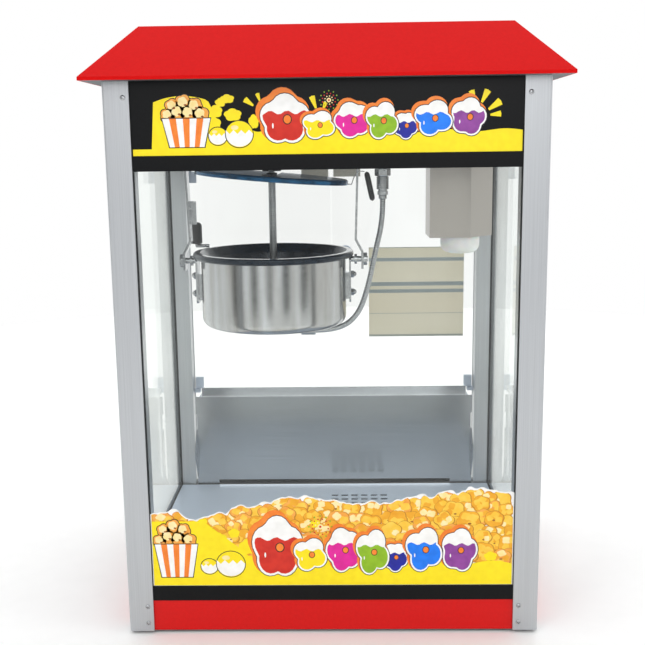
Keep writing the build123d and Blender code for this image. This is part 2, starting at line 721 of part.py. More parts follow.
# A bent strap on the lid's right edge carries a flat black lifting bar.
strap_width = 12
strap_near = 11
strap_points = ((lid_radius, -lid_flange), (lid_radius + 6, -lid_flange), (lid_radius + 9, 4),
                (lid_radius + 15, 12), (lid_radius + 21, 12))
lid_side = Plane(origin=lid_frame.origin, x_dir=lid_frame.x_dir, z_dir=(0, -1, 0))
bar_length = 46
bar_lean = 14
bar_thickness = 5
bar_top = lid_side.from_local_coords((lid_radius + 21.3, 14))
bar_plane = Plane(origin=(bar_top.X, 0, bar_top.Z), z_dir=(0, -1, 0),
                  x_dir=(cos(radians(bar_lean)), 0, sin(radians(bar_lean))))
with BuildPart() as lid_handle:
    with BuildSketch(lid_side.offset(-strap_near - strap_width)):
        with BuildLine():
            Polyline(*strap_points)
            offset(amount=1, side=Side.LEFT)
        make_face()
    extrude(amount=strap_width)
    with BuildSketch(bar_plane.offset(-strap_near - strap_width)):
        with Locations((bar_thickness / 2, -bar_length / 2)):
            RectangleRounded(bar_thickness, bar_length, 1.5)
    extrude(amount=strap_width)
lid_handle.part.label = "lid_handle"
export_step(lid_handle.part, "parts/lid_handle.step")

# A slotted collar guides the lid on the shaft and carries its sheet from below.
collar_flange = 9.5
collar_height = 5.5
collar_sheet_gap = 2.2
with BuildPart() as lid_collar:
    flange_bottom = lid_sheet_height - collar_sheet_gap - 1.5
    rod((kettle_x, 0, flange_bottom), collar_flange, 1.5)
    rod((kettle_x, 0, flange_bottom), lid_hole - 0.5, collar_height)
    rod((kettle_x, 0, flange_bottom), shaft_radius + 0.3, collar_height, "Z", Mode.SUBTRACT)
    block((kettle_x - shaft_radius - 0.3, kettle_x + shaft_radius + 0.3), (0, collar_flange + 1),
          (flange_bottom, flange_bottom + collar_height), Mode.SUBTRACT)
lid_collar.part.label = "lid_collar"
export_step(lid_collar.part, "parts/lid_collar.step")

# ---- Hanger ---------------------------------------------------------------------------

# Two bent arms hang the kettle's pins. The left one has a small angle that the latch rests on.

neck_height = rim_top + 14
arm_flange = 22
latch_z = (pivot_height + 50, pivot_height + 82)
for name, side in (("left_hanger_arm", -1), ("right_hanger_arm", 1)):
    section = Plane(origin=(kettle_x, 0, 0), x_dir=(1, 0, 0), z_dir=(0, -1, 0))
    with BuildPart() as arm:
        with BuildSketch(section.offset(-arm_width / 2)):
            with BuildLine():
                inner = ((side * arm_pivot_offset, pivot_height - 13),
                         (side * arm_pivot_offset, pivot_height + 10),
                         (side * arm_neck_offset, neck_height),
                         (side * arm_top_offset, ceiling_height - arm_thickness),
                         (side * (arm_top_offset - arm_flange), ceiling_height - arm_thickness))
                outer = ((side * (arm_top_offset - arm_flange), ceiling_height),
                         (side * (arm_top_offset + arm_thickness), ceiling_height),
                         (side * (arm_neck_offset + arm_thickness), neck_height + 1),
                         (side * (arm_pivot_offset + arm_thickness), pivot_height + 11),
                         (side * (arm_pivot_offset + arm_thickness), pivot_height - 13))
                Polyline(*inner, *outer, close=True)
            make_face()
        extrude(amount=arm_width)
        bore_start = min(side * arm_pivot_offset, side * (arm_pivot_offset + arm_thickness)) + kettle_x
        rod((bore_start, 0, pivot_height), bush_radius - 3, arm_thickness, "X", Mode.SUBTRACT)
        if side < 0:
            latch_x = kettle_x - arm_neck_offset
            block((latch_x - 1, latch_x + 7), (2, 3.5), latch_z)
            block((latch_x - 1, latch_x + 0.5), (2, 16), latch_z)
    arm.part.label = name
    export_step(arm.part, f"parts/{name}.step")

with BuildPart() as pivot_bushes:
    for side in (-1, 1):
        face = arm_pivot_offset + arm_thickness
        start = kettle_x + face if side > 0 else kettle_x - bush_outer
        rod((start, 0, pivot_height), bush_radius, bush_outer - face, "X")
        neck = kettle_x + arm_pivot_offset if side > 0 else kettle_x - face
        rod((neck, 0, pivot_height), bush_radius - 3, arm_thickness, "X")
    rod((kettle_x - bush_outer, 0, pivot_height), pin_radius + running_clearance, 2 * bush_outer, "X",
        Mode.SUBTRACT)
pivot_bushes.part.label = "pivot_bushes"
export_step(pivot_bushes.part, "parts/pivot_bushes.step")

# ---- Lamp -----------------------------------------------------------------------------

shade_front = -30
shade_back = 35
shade_left = lamp_x - 45
shade_corner = lamp_x + 10
shade_right = lamp_x + 44
lamp_y = 5
with BuildPart() as lamp_shade:
    with BuildSketch(Plane.XY.offset(lamp_bottom)):
        with BuildLine():
            Polyline((shade_left, shade_front), (shade_corner, shade_front), (shade_right, lamp_y),
                     (shade_right, shade_back), (shade_left, shade_back), close=True)
        make_face()
    extrude(amount=ceiling_height - lamp_bottom)
    offset(amount=-sheet, openings=lamp_shade.faces().sort_by(Axis.Z)[0])
lamp_shade.part.label = "lamp_shade"
export_step(lamp_shade.part, "parts/lamp_shade.step")

socket_radius = 16
socket_bottom = ceiling_height - 64
with BuildPart() as lamp_socket:
    rod((lamp_x, lamp_y, socket_bottom), socket_radius, ceiling_height - sheet - socket_bottom)
    rod((lamp_x, lamp_y, socket_bottom), socket_radius - 3, 22, "Z", Mode.SUBTRACT)
lamp_socket.part.label = "lamp_socket"
export_step(lamp_socket.part, "parts/lamp_socket.step")

bulb_centre = lamp_bottom + 2
bulb_neck = socket_radius - 3.3
with BuildPart() as lamp_bulb:
    with Locations((lamp_x, lamp_y, bulb_centre)):
        Sphere(dome_radius - 1)
    rod((lamp_x, lamp_y, bulb_centre), bulb_neck, socket_bottom + 21.7 - bulb_centre)
    neck_seam = lamp_bulb.edges().filter_by(GeomType.CIRCLE).sort_by(Axis.Z)[-2]
    fillet(neck_seam, 14)
lamp_bulb.part.label = "lamp_bulb"
export_step(lamp_bulb.part, "parts/lamp_bulb.step")

# ---- Power conduit from the ceiling to the underside of the pot ------------------------

conduit_top = ceiling_height - 76
conduit_z = pot_bottom - 11.5
elbow_x = -22
connector_flange = ceiling_height - 42

with BuildPart() as conduit_connector:
    rod((connector_x, 0, conduit_top), 6.5, 10)
    rod((connector_x, 0, conduit_top + 9), 8.5, connector_flange - conduit_top - 9)
    rod((connector_x, 0, connector_flange), 11, 7)
    rod((connector_x, 0, connector_flange), connector_radius - 0.1, ceiling_height + sheet + 6 - connector_flange)
    rod((connector_x, 0, ceiling_height - 5), 11, 5)
    rod((connector_x, 0, ceiling_height + sheet), 11, 5)
conduit_connector.part.label = "conduit_connector"
export_step(conduit_connector.part, "parts/conduit_connector.step")

conduit_route = [(connector_x, 0, conduit_top), (connector_x, 0, 507), (62.5, 0, 463), (52.5, 0, 414),
                 (38.5, 0, 374), (10, 0, conduit_z), (elbow_x, 0, conduit_z)]


def bend_radii(route):
    """The largest arc that each corner's two runs leave room for."""
    radii = []
    for before, corner, after in zip(route, route[1:], route[2:]):
        arriving = Vector(*corner) - Vector(*before)
        leaving = Vector(*after) - Vector(*corner)
        turn = radians(arriving.get_angle(leaving))
        radii.append(0.45 * min(arriving.length, leaving.length) / tan(turn / 2))
    return radii


conduit_radii = bend_radii(conduit_route)
print("conduit bend radii", [round(radius, 1) for radius in conduit_radii])
with BuildPart() as power_conduit:
    with BuildLine() as conduit_line:
        FilletPolyline(*conduit_route, radius=conduit_radii)
    with BuildSketch(Plane(origin=conduit_route[0], z_dir=(0, 0, -1))):
        Circle(conduit_radius)
    sweep(path=conduit_line.line)
power_conduit.part.label = "power_conduit"
export_step(power_conduit.part, "parts/power_conduit.step")

with BuildPart() as conduit_elbow:
    rod((elbow_x - 20, 0, conduit_z), 6.5, 20, "X")
    rod((elbow_x - 12, 0, conduit_z), 5, pot_bottom - conduit_z)
conduit_elbow.part.label = "conduit_elbow"
export_step(conduit_elbow.part, "parts/conduit_elbow.step")

# ---- Rear doors -----------------------------------------------------------------------

door_y = half_depth - 7.5
door_top = window_top - 12
door_pivot_x = inner_x - 5
door_pivot_y = door_y + glass / 2
door_edge = inner_x - 1.5
clip_height = 16
clip_skin = 1.4
clip_end = inner_x - 1.8
pin_reach = 6
block_gap = 1

with BuildPart() as door_pivot_blocks:
    for side in (-1, 1):
        x = span(side, door_pivot_x - 4, inner_x)
        bore = door_pin_radius - 0.5 + running_clearance
        low = door_bottom - clip_skin - block_gap
        high = door_top + clip_skin + block_gap
        block(x, (door_pivot_y - 6, door_pivot_y + 5.5), (low - pin_reach, low))
        block(x, (door_pivot_y - 6, door_pivot_y + 5.5), (high, high + pin_reach))
        rod((side * door_pivot_x, door_pivot_y, low - pin_reach), bore, pin_reach, "Z", Mode.SUBTRACT)
        rod((side * door_pivot_x, door_pivot_y, high), bore, pin_reach, "Z", Mode.SUBTRACT)
door_pivot_blocks.part.label = "door_pivot_blocks"
export_step(door_pivot_blocks.part, "parts/door_pivot_blocks.step")

knob_x = 22
knob_z = 440
for hand, side in (("left", -1), ("right", 1)):
    with BuildPart() as door:
        block(span(side, door_gap / 2, door_edge), (door_y, door_y + glass), (door_bottom, door_top))
        rod((side * knob_x, door_y, knob_z), 2.2, glass, "Y", Mode.SUBTRACT)
    door.part.label = f"{hand}_door"
    export_step(door.part, f"parts/{hand}_door.step")

    with BuildPart() as door_fittings:
        for low, high, pin_start in ((door_bottom - clip_skin, door_bottom + clip_height,
                                      door_bottom - clip_skin - block_gap - pin_reach + 0.5),
                                     (door_top - clip_height, door_top + clip_skin, door_top + clip_skin)):
            block(span(side, door_pivot_x - 9, clip_end), (door_y - clip_skin, door_y + glass + clip_skin),
                  (low, high))
            rod((side * door_pivot_x, door_pivot_y, pin_start), door_pin_radius - 0.5,
                block_gap + pin_reach - 0.5)
        block(span(side, door_gap / 2, door_edge), (door_y, door_y + glass), (door_bottom, door_top),
              Mode.SUBTRACT)
        rod((side * knob_x, door_y - 2, knob_z), 5, 2, "Y")
        rod((side * knob_x, door_y, knob_z), 2.1, glass, "Y")
        rod((side * knob_x, door_y + glass, knob_z), 6, 9, "Y")
        rod((side * knob_x, door_y + glass + 7, knob_z), 11, 9, "Y")
        fillet(door_fittings.edges().sort_by(Axis.Y)[-1], 3)
    door_fittings.part.label = f"{hand}_door_fittings"
    export_step(door_fittings.part, f"parts/{hand}_door_fittings.step")

# Two catches under the rear panel hold the doors' top inner corners.
catch_inner = 4
catch_outer = 46
catch_bottom = window_top - 20.7
with BuildPart() as door_catches:
    for side in (-1, 1):
        x = span(side, catch_inner, catch_outer)
        block(x, (door_y - 12.3, door_y - 0.3), (catch_bottom, window_top))
        block(x, (door_y - 12.3, rear_face - sheet), (door_top + 3, window_top + 8))
door_catches.part.label = "door_catches"
export_step(door_catches.part, "parts/door_catches.step")

label_thickness = 0.3
label_left = 59
label_right = 211
label_bottom = 303
label_top = 448
with BuildPart() as door_label:
    block((label_left, label_right), (door_y + glass, door_y + glass + label_thickness),
          (label_bottom, label_top))
door_label.part.label = "door_label"
export_step(door_label.part, "parts/door_label.step")

# The printed film on the front glass has a heaped outline.
film_half = inner_x - 1
film_heaps = ((film_half, 186), (192, 196), (134, 188), (80, 180), (23, 173), (-37, 184), (-94, 176),
              (-150, 166), (-166, 151), (-190, 166), (-film_half, 164))
film_y = -half_depth + glass_offset
with BuildPart() as front_film:
    with BuildSketch(Plane(origin=(0, film_y, 0), x_dir=(1, 0, 0), z_dir=(0, -1, 0))):
        with BuildLine():
            Polyline((-film_half, trim_top + 0.5), (film_half, trim_top + 0.5), *film_heaps, close=True)
        make_face()
    extrude(amount=label_thickness)
front_film.part.label = "front_film"
export_step(front_film.part, "parts/front_film.step")

# ---- Rear flap ------------------------------------------------------------------------

flap_tab = 35
flap_step = deck_top + 6.7
tab_bottom = deck_top - 1.7
flange_half = flap_half - 7
notch_z = (156, 182)
wing_outline = ((flap_y, 156), (flap_y - 22, 132), (flap_y - 22, 112), (flap_y, 76))
with BuildPart() as rear_flap:
    block((-flap_half, flap_half), (flap_y, flap_y + sheet), (tab_bottom, flap_top))
    block((-flap_half + flap_tab, flap_half - flap_tab), (flap_y, flap_y + sheet), (tab_bottom, flap_step),
          Mode.SUBTRACT)
    block((-flange_half, flange_half), (flap_y, flap_y + flap_flange), (flap_top - sheet, flap_top))
    block((-flange_half, flange_half), (flap_y + flap_flange - sheet, flap_y + flap_flange),
          (flap_top - sheet, flap_top + flap_lip))
    for side in (-1, 1):
        block(span(side, flap_half - 2, flap_half), (flap_y, flap_y + sheet), notch_z, Mode.SUBTRACT)
        block(span(side, flap_half - sheet, flap_half), (flap_y, flap_axis_y + 4), (tab_bottom, flap_axis_z + 6))
        pin_start = side * (flap_half - sheet) if side > 0 else -inner_x - hinge_bore_depth + 0.5
        rod((pin_start, flap_axis_y, flap_axis_z), flap_pin_radius,
            inner_x + hinge_bore_depth - 0.5 - flap_half + sheet, "X")
        with BuildSketch(Plane.YZ.offset(side * flap_half)):
            with BuildLine():
                Polyline(*wing_outline, close=True)
            make_face()
        extrude(amount=-side * sheet)
rear_flap.part.label = "rear_flap"
export_step(rear_flap.part, "parts/rear_flap.step")

# ---- Crumb drawer ---------------------------------------------------------------------

drawer_front = rear_face + panel_gap
with BuildPart() as crumb_drawer:
    block((-drawer_half, drawer_half), (drawer_front - drawer_depth, drawer_front),
          (drawer_floor, drawer_floor + drawer_height))
    block((-drawer_half + sheet, drawer_half - sheet),
          (drawer_front - drawer_depth + sheet, drawer_front - sheet),
          (drawer_floor + sheet, drawer_floor + drawer_height), Mode.SUBTRACT)
    block((-drawer_half - 6, drawer_half + 6), (drawer_front, drawer_front + sheet),
          (drawer_floor - 2, drawer_floor + drawer_height + 5))
crumb_drawer.part.label = "crumb_drawer"
export_step(crumb_drawer.part, "parts/crumb_drawer.step")

pull_half = 32
pull_z = drawer_floor + drawer_height / 2
with BuildPart() as drawer_pull:
    with BuildSketch(Plane.YZ.offset(-pull_half)):
        with BuildLine():
            face = drawer_front + sheet
            Polyline((face, pull_z + 9), (face + 13, pull_z + 9), (face + 13, pull_z - 2),
                     (face + 11, pull_z - 2), (face + 11, pull_z + 7), (face + 2, pull_z + 7),
                     (face + 2, pull_z - 9), (face, pull_z - 9), close=True)
        make_face()
    extrude(amount=2 * pull_half)
drawer_pull.part.label = "drawer_pull"
export_step(drawer_pull.part, "parts/drawer_pull.step")

# ---- Cord gland -----------------------------------------------------------------------

with BuildPart() as cord_gland:
    rod((gland_x, rear_face, gland_z), 11, 5, "Y")
    rod((gland_x, rear_face + 5, gland_z), 8, 11, "Y")
    fillet(cord_gland.edges().sort_by(Axis.Y)[-1], 2)
    rod((gland_x, rear_face - sheet, gland_z), gland_radius - 0.1, sheet, "Y")
    rod((gland_x, rear_face - sheet - 5, gland_z), 11, 5, "Y")
    rod((gland_x, rear_face - sheet - 5, gland_z), 4, sheet + 21, "Y", Mode.SUBTRACT)
cord_gland.part.label = "cord_gland"
export_step(cord_gland.part, "parts/cord_gland.step")
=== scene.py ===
import math
import random

import bmesh
import bpy
from mathutils import Matrix, Vector


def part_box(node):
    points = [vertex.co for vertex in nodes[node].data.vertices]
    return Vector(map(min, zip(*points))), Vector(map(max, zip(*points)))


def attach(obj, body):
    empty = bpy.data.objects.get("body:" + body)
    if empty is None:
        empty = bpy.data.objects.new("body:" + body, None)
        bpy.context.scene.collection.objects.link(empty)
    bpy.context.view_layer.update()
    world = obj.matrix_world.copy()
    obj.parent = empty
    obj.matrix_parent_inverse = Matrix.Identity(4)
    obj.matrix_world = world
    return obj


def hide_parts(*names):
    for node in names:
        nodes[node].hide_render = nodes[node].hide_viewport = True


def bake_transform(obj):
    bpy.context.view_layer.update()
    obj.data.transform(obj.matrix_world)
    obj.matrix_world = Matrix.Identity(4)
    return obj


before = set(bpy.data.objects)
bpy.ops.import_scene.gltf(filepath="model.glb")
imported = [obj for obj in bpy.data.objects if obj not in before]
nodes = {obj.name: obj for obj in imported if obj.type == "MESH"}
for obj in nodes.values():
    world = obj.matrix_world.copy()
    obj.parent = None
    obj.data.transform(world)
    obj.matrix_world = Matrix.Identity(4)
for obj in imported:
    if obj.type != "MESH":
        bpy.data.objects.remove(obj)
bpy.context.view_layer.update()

MM = 0.001


# ---- Helpers ---------------------------------------------------------------------------

def linear(colour):
    """An sRGB hex colour as linear RGBA."""
    parts = [int(colour[i:i + 2], 16) / 255 for i in (1, 3, 5)]
    return [c / 12.92 if c <= 0.04045 else ((c + 0.055) / 1.055) ** 2.4 for c in parts] + [1.0]


def add(tree, kind, settings=None, values=None, links=None):
    """One shader node with its settings, its plain values and its links."""
    made = tree.nodes.new(kind)
    for key, value in (settings or {}).items():
        setattr(made, key, value)
    for key, value in (values or {}).items():
        made.inputs[key].default_value = value
    for key, source in (links or {}).items():
        tree.links.new(source, made.inputs[key])
    return made


def blank(name):
    """An empty node material and its tree."""
    made = bpy.data.materials.new(name)
    made.use_nodes = True
    made.node_tree.nodes.clear()
    return made, made.node_tree


def show(tree, shader):
    """Joins a shader to the material's output."""
    add(tree, "ShaderNodeOutputMaterial", links={"Surface": shader})


def grain(tree, stretch, detail=3.0):
    """Noise over the piece's own millimetres; stretch is the grain's size along X, Y and Z in mm."""
    place = add(tree, "ShaderNodeTexCoord").outputs["Object"]
    size = add(tree, "ShaderNodeMapping", values={"Scale": [1 / (MM * s) for s in stretch]},
               links={"Vector": place}).outputs[0]
    return add(tree, "ShaderNodeTexNoise", values={"Scale": 1.0, "Detail": detail},
               links={"Vector": size}).outputs["Fac"]


def spread(tree, source, low, high):
    """A 0 to 1 pattern turned to the range low to high, about its own middle."""
    return add(tree, "ShaderNodeMapRange", values={"From Min": 0.3, "From Max": 0.7,
               "To Min": low, "To Max": high}, links={"Value": source}).outputs[0]


def tint(tree, source, low, high):
    """Two colours mixed by a pattern."""
    steps = add(tree, "ShaderNodeValToRGB", links={"Fac": source})
    steps.color_ramp.elements[0].position = 0.3
    steps.color_ramp.elements[0].color = linear(low)
    steps.color_ramp.elements[1].position = 0.7
    steps.color_ramp.elements[1].color = linear(high)
    return steps.outputs["Color"]


def relief(tree, source, height_mm):
    """A bump of that real height."""
    return add(tree, "ShaderNodeBump", values={"Distance": height_mm * MM},
               links={"Height": source}).outputs["Normal"]


def finish(name, low, high, stretch, rough, bump_mm, detail=3.0, **plain):
    """A finish whose colour, roughness and bump follow one grain; plain sets the shader's sockets."""
    made, tree = blank(name)
    pattern = grain(tree, stretch, detail)
    shader = add(tree, "ShaderNodeBsdfPrincipled",
                 values={key.replace("_", " "): value for key, value in plain.items()},
                 links={"Base Color": tint(tree, pattern, low, high),
                        "Roughness": spread(tree, pattern, rough[0], rough[1]),
                        "Normal": relief(tree, pattern, bump_mm)})
    show(tree, shader.outputs[0])
    return made


# ---- Finishes ---------------------------------------------------------------------------

# Baked enamel on sheet steel: a deep, even red, softly glossed, with a faint orange peel of 4 mm ripples.
red_enamel = finish("red_baked_enamel", "#cb0707", "#d10a0a", (4, 4, 4), (0.3, 0.35), 0.001,
                    Coat_Weight=0.0, Specular_IOR_Level=0.07)
# Anodised aluminium extrusion: satin, with fine die lines along the post, 0.8 mm apart as they show.
aluminium = finish("satin_anodised_aluminium", "#b4b7ba", "#c0c3c6", (1.1, 1.1, 200), (0.34, 0.42),
                   0.004, Metallic=0.8)
# Brushed stainless sheet, grade 2B to No. 4: a cool grey, its brush lines running left to right.
stainless_sheet = finish("brushed_stainless_sheet", "#acaeb0", "#bcbec0", (110, 0.9, 0.9), (0.3, 0.4),
                         0.003, Metallic=0.9)
# The same steel laid flat, as the deck is, painted a little brighter and bluer as light falling on it from
# above, and more diffuse.
stainless_deck = finish("deck_steel_painted_light", "#c2cedf", "#ccd7e6", (90, 1.1, 1.1), (0.34, 0.46),
                        0.002, Metallic=0.35)
# The tilting flap is the same sheet with a finer polish, so that the deck shows in it.
stainless_flap = finish("polished_stainless_flap", "#abaeb1", "#b4b7ba", (160, 1.6, 1.6), (0.14, 0.18),
                        0.0002, Metallic=0.85)
# The lamp's shade has a warmer, coarser brush.
stainless_shade = finish("warm_brushed_shade", "#a19b95", "#aaa49e", (80, 1.0, 1.0), (0.28, 0.34),
                         0.0006, Metallic=0.75)
# Galvanised sheet where it is only seen through slots: dull grey with a soft spangle.
galvanised = finish("galvanised_inner_sheet", "#55585b", "#666a6d", (7, 7, 7), (0.5, 0.6), 0.004,
                    Metallic=0.6)
# Drawn and polished steel for screws, nuts, rods and arms: bright, with small soft handling marks.
polished_steel = finish("polished_steel", "#a4a6a8", "#bec0c2", (3, 3, 3), (0.16, 0.28), 0.006,
                        Metallic=1.0)
# Turned steel bar for the stirrer: greyer, with rings round the shaft 0.6 mm apart.
turned_steel = finish("turned_steel_bar", "#8a8c8e", "#a6a8aa", (30, 30, 0.6), (0.3, 0.42), 0.01,
                      Metallic=1.0)
# Cast aluminium and painted laminations of a small gear motor: dull light grey with a sand-cast skin.
cast_motor = finish("cast_motor_alloy", "#8b8e90", "#a3a6a8", (1.2, 1.2, 1.2), (0.5, 0.62), 0.05,
                    Metallic=0.7)
# Semi-gloss black paint on rolled strip.
black_paint = finish("semigloss_black_paint", "#07080a", "#0c0e10", (3, 3, 3), (0.28, 0.36), 0.004,
                     Specular_IOR_Level=0.16)
# Fluoropolymer coating of the cooking bowl: near black with a blue cast and a fine sprayed grain.
nonstick = finish("nonstick_fluoropolymer", "#0b1724", "#122434", (1.2, 1.2, 1.2), (0.2, 0.28), 0.003,
                  Metallic=0.25, Coat_Weight=0.1, Coat_Roughness=0.1, Specular_IOR_Level=0.4)
# Blue-black coated lid steel, which mirrors the bright room with a blue cast.
lid_coating = finish("blued_coated_lid", "#1b4a6e", "#2a648c", (14, 14, 3), (0.18, 0.26), 0.004,
                     Metallic=0.9)
# Moulded phenolic and ABS: black, finely spark-eroded, 0.7 mm grain.
black_plastic = finish("moulded_black_plastic", "#0f1011", "#191a1b", (0.7, 0.7, 0.7), (0.36, 0.48),
                       0.02)
# White moulded plastic.
white_plastic = finish("moulded_white_plastic", "#e6e6e2", "#efefec", (0.9, 0.9, 0.9), (0.35, 0.45),
                       0.012)
# Zinc-plated steel catches and plates with a warm passivated tint.
zinc_plate = finish("passivated_zinc_plate", "#c2beb3", "#d0ccc2", (5, 5, 2), (0.36, 0.48), 0.003,
                    Metallic=0.35)
# Extruded EPDM glass gasket.
gasket = finish("epdm_gasket", "#1a1c1d", "#26292a", (1.0, 1.0, 20), (0.6, 0.75), 0.02)
# Moulded rubber foot.
foot_rubber = finish("moulded_foot_rubber", "#141414", "#1f1f1f", (1.2, 1.2, 1.2), (0.7, 0.85), 0.03)
# Nickel-plated sheath of a tubular heater.
heater_sheath = finish("nickel_heater_sheath", "#6d6f70", "#8a8c8d", (2, 2, 2), (0.4, 0.55), 0.02,
                       Metallic=1.0)


def spun(name, low, high, rough, turns_mm=0.9):
    """Spun or turned sheet: fine rings round a vertical axis, so that light stands in upright streaks."""
    made, tree = blank(name)
    rings = grain(tree, (60, 60, turns_mm), 4.0)
    # Upright bands of warmer and cooler grey in the colour are painted reflection streaks.
    painted_reflection_streaks = grain(tree, (26, 26, 200), 2.0)
    around = add(tree, "ShaderNodeTangent", {"direction_type": "RADIAL", "axis": "Z"}).outputs[0]
    shader = add(tree, "ShaderNodeBsdfPrincipled",
                 values={"Metallic": 1.0, "Anisotropic": 0.75},
                 links={"Base Color": tint(tree, painted_reflection_streaks, low, high),
                        "Roughness": spread(tree, rings, rough[0], rough[1]),
                        "Normal": relief(tree, rings, 0.006), "Tangent": around})
    show(tree, shader.outputs[0])
    return made


# Spun stainless of the kettle's outer pot.
spun_stainless = spun("spun_stainless_pot", "#aaa8a5", "#cacccf", (0.1, 0.18))


# The base is enamelled on its outer faces only; inside, the zinc-coated sheet is left bare, its grey darkened
# as painted shade for the gaps that look into it.
base_finish, tree = blank("enamelled_base_sheet")
speck = grain(tree, (4, 4, 4))
where = add(tree, "ShaderNodeTexCoord").outputs["Object"]
place = add(tree, "ShaderNodeSeparateXYZ", links={0: where}).outputs
SKIN_MM = 0.3
outside = []
for axis, reach in (("X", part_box("base_shell")[1].x), ("Y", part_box("base_shell")[1].y)):
    far = add(tree, "ShaderNodeMath", {"operation": "ABSOLUTE"}, links={0: place[axis]}).outputs[0]
    outside.append(add(tree, "ShaderNodeMath", {"operation": "GREATER_THAN"}, {1: reach - SKIN_MM * MM},
                       {0: far}).outputs[0])
painted = add(tree, "ShaderNodeMath", {"operation": "MAXIMUM"},
              links={0: outside[0], 1: outside[1]}).outputs[0]
enamel = add(tree, "ShaderNodeBsdfPrincipled",
             values={"Roughness": 0.32, "Coat Weight": 0.06, "Coat Roughness": 0.08,
                     "Specular IOR Level": 0.2},
             links={"Base Color": tint(tree, speck, "#cf0d0c", "#d6100f"),
                    "Normal": relief(tree, speck, 0.001)})
# Inner faces: bare sheet in a dark grey that stands for painted shade.
bare_in_painted_shade = add(tree, "ShaderNodeBsdfPrincipled", values={"Metallic": 0.8, "Roughness": 0.45},
           links={"Base Color": tint(tree, speck, "#3c3e40", "#4a4c4f")})
both = add(tree, "ShaderNodeMixShader", links={0: painted, 1: bare_in_painted_shade.outputs[0], 2: enamel.outputs[0]})
show(tree, both.outputs[0])


def pane(name, through, gloss, ior):
    """Clear sheet: what is behind shows through a slight tint, and the surface mirrors by Fresnel."""
    made, tree = blank(name)
    clear = add(tree, "ShaderNodeBsdfTransparent", values={"Color": linear(through)})
    mirror = add(tree, "ShaderNodeBsdfPrincipled",
                 values={"Metallic": 1.0, "Base Color": linear("#f4f7f7"), "Roughness": gloss})
    # Light leaves the sheet as it entered, so the inner faces mirror no more than the outer ones.
    inner = add(tree, "ShaderNodeNewGeometry").outputs["Backfacing"]
    bend = add(tree, "ShaderNodeMapRange", values={"To Min": ior, "To Max": 1 / ior},
               links={"Value": inner}).outputs[0]
    edge = add(tree, "ShaderNodeFresnel", links={"IOR": bend}).outputs[0]
    smear = grain(tree, (60, 60, 90), 3.0)
    share = add(tree, "ShaderNodeMath", {"operation": "MULTIPLY"},
                links={0: edge, 1: spread(tree, smear, 0.7, 1.0)}).outputs[0]
    both = add(tree, "ShaderNodeMixShader", links={0: share, 1: clear.outputs[0], 2: mirror.outputs[0]})
    show(tree, both.outputs[0])
    return made


# Toughened float glass, 4 mm: hardly tinted, faintly green at its cut edges.
float_glass = pane("toughened_float_glass", "#fdfefd", 0.02, 1.45)
# Cast acrylic of the operator's doors: clearer than glass and a little softer in its gloss.
cast_acrylic = pane("cast_acrylic", "#fefefe", 0.04, 1.35)

# Opal glass of the lamp: milky white, lit only by the room.
opal, tree = blank("opal_lamp_glass")
cloudy = grain(tree, (12, 12, 12))
shader = add(tree, "ShaderNodeBsdfPrincipled",
             values={"Roughness": 0.35, "Transmission Weight": 0.1, "Subsurface Weight": 0.4,
                     "Subsurface Scale": 0.006},
             links={"Base Color": tint(tree, cloudy, "#eeeeec", "#fafaf8")})
show(tree, shader.outputs[0])

# Satin film of the door label: translucent warm cream, crossed by a few grey-blue printed bands.
label_film, tree = blank("translucent_label_film")
label_low, label_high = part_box("door_label")
where = add(tree, "ShaderNodeTexCoord").outputs["Object"]
height = add(tree, "ShaderNodeSeparateXYZ", links={0: where}).outputs["Z"]
share = add(tree, "ShaderNodeMapRange", values={"From Min": label_low.z, "From Max": label_high.z},
            links={"Value": height}).outputs[0]
bands = add(tree, "ShaderNodeValToRGB", links={"Fac": share})
bands.color_ramp.interpolation = "CONSTANT"
for step, (place, colour) in enumerate((
        (0.0, "#b9bdb8"), (0.99, "#b9bdb8"), (0.02, "#e8e5d8"), (0.255, "#c4c8c2"), (0.265, "#e7e3d5"),
        (0.49, "#b4bcbd"), (0.53, "#e4e1d3"), (0.57, "#b4bcbd"), (0.61, "#e9e6d9"), (0.84, "#b8c0c1"),
        (0.88, "#e6e3d5"))):
    stop = bands.color_ramp.elements[step] if step < 2 else bands.color_ramp.elements.new(place)
    stop.position = place
    stop.color = linear(colour)
film_side = add(tree, "ShaderNodeBsdfPrincipled", values={"Roughness": 0.4},
                links={"Base Color": bands.outputs["Color"]})
through = add(tree, "ShaderNodeBsdfTranslucent", links={"Color": bands.outputs["Color"]})
both = add(tree, "ShaderNodeMixShader", values={0: 0.7},
           links={1: film_side.outputs[0], 2: through.outputs[0]})
show(tree, both.outputs[0])

# Screen inks under a gloss laminate; each has the faint mottle of a printed solid, 9 mm across.
INKS = {
    "black": ("#08080a", "#0c0c0f"), "yellow": ("#f8df00", "#fde606"), "white": ("#f1f1ee", "#fafaf8"),
    "red": ("#c9200f", "#d62b17"), "magenta": ("#d91290", "#e61c9e"), "green": ("#83b012", "#93c01c"),
    "navy": ("#0e1890", "#161fa2"), "azure": ("#0374ea", "#0a80f8"), "purple": ("#83388f", "#95469f"),
    "orange": ("#ef7a1e", "#f7892c"), "amber": ("#ee9a30", "#f5ad4e"), "golden": ("#eba21a", "#f3b128"),
    "corn": ("#f6c234", "#fad050"), "cream": ("#fae093", "#fcebb4"), "brown": ("#8f4d14", "#a55f1e"),
    "shadow": ("#bf7a14", "#cc8a20"),
}
inks = {}
for ink, (low, high) in INKS.items():
    inks[ink] = finish("printed_ink_" + ink, low, high, (9, 9, 9), (0.3, 0.36), 0.0005, 1.0,
                       Coat_Weight=0.25, Coat_Roughness=0.1, Specular_IOR_Level=0.3)

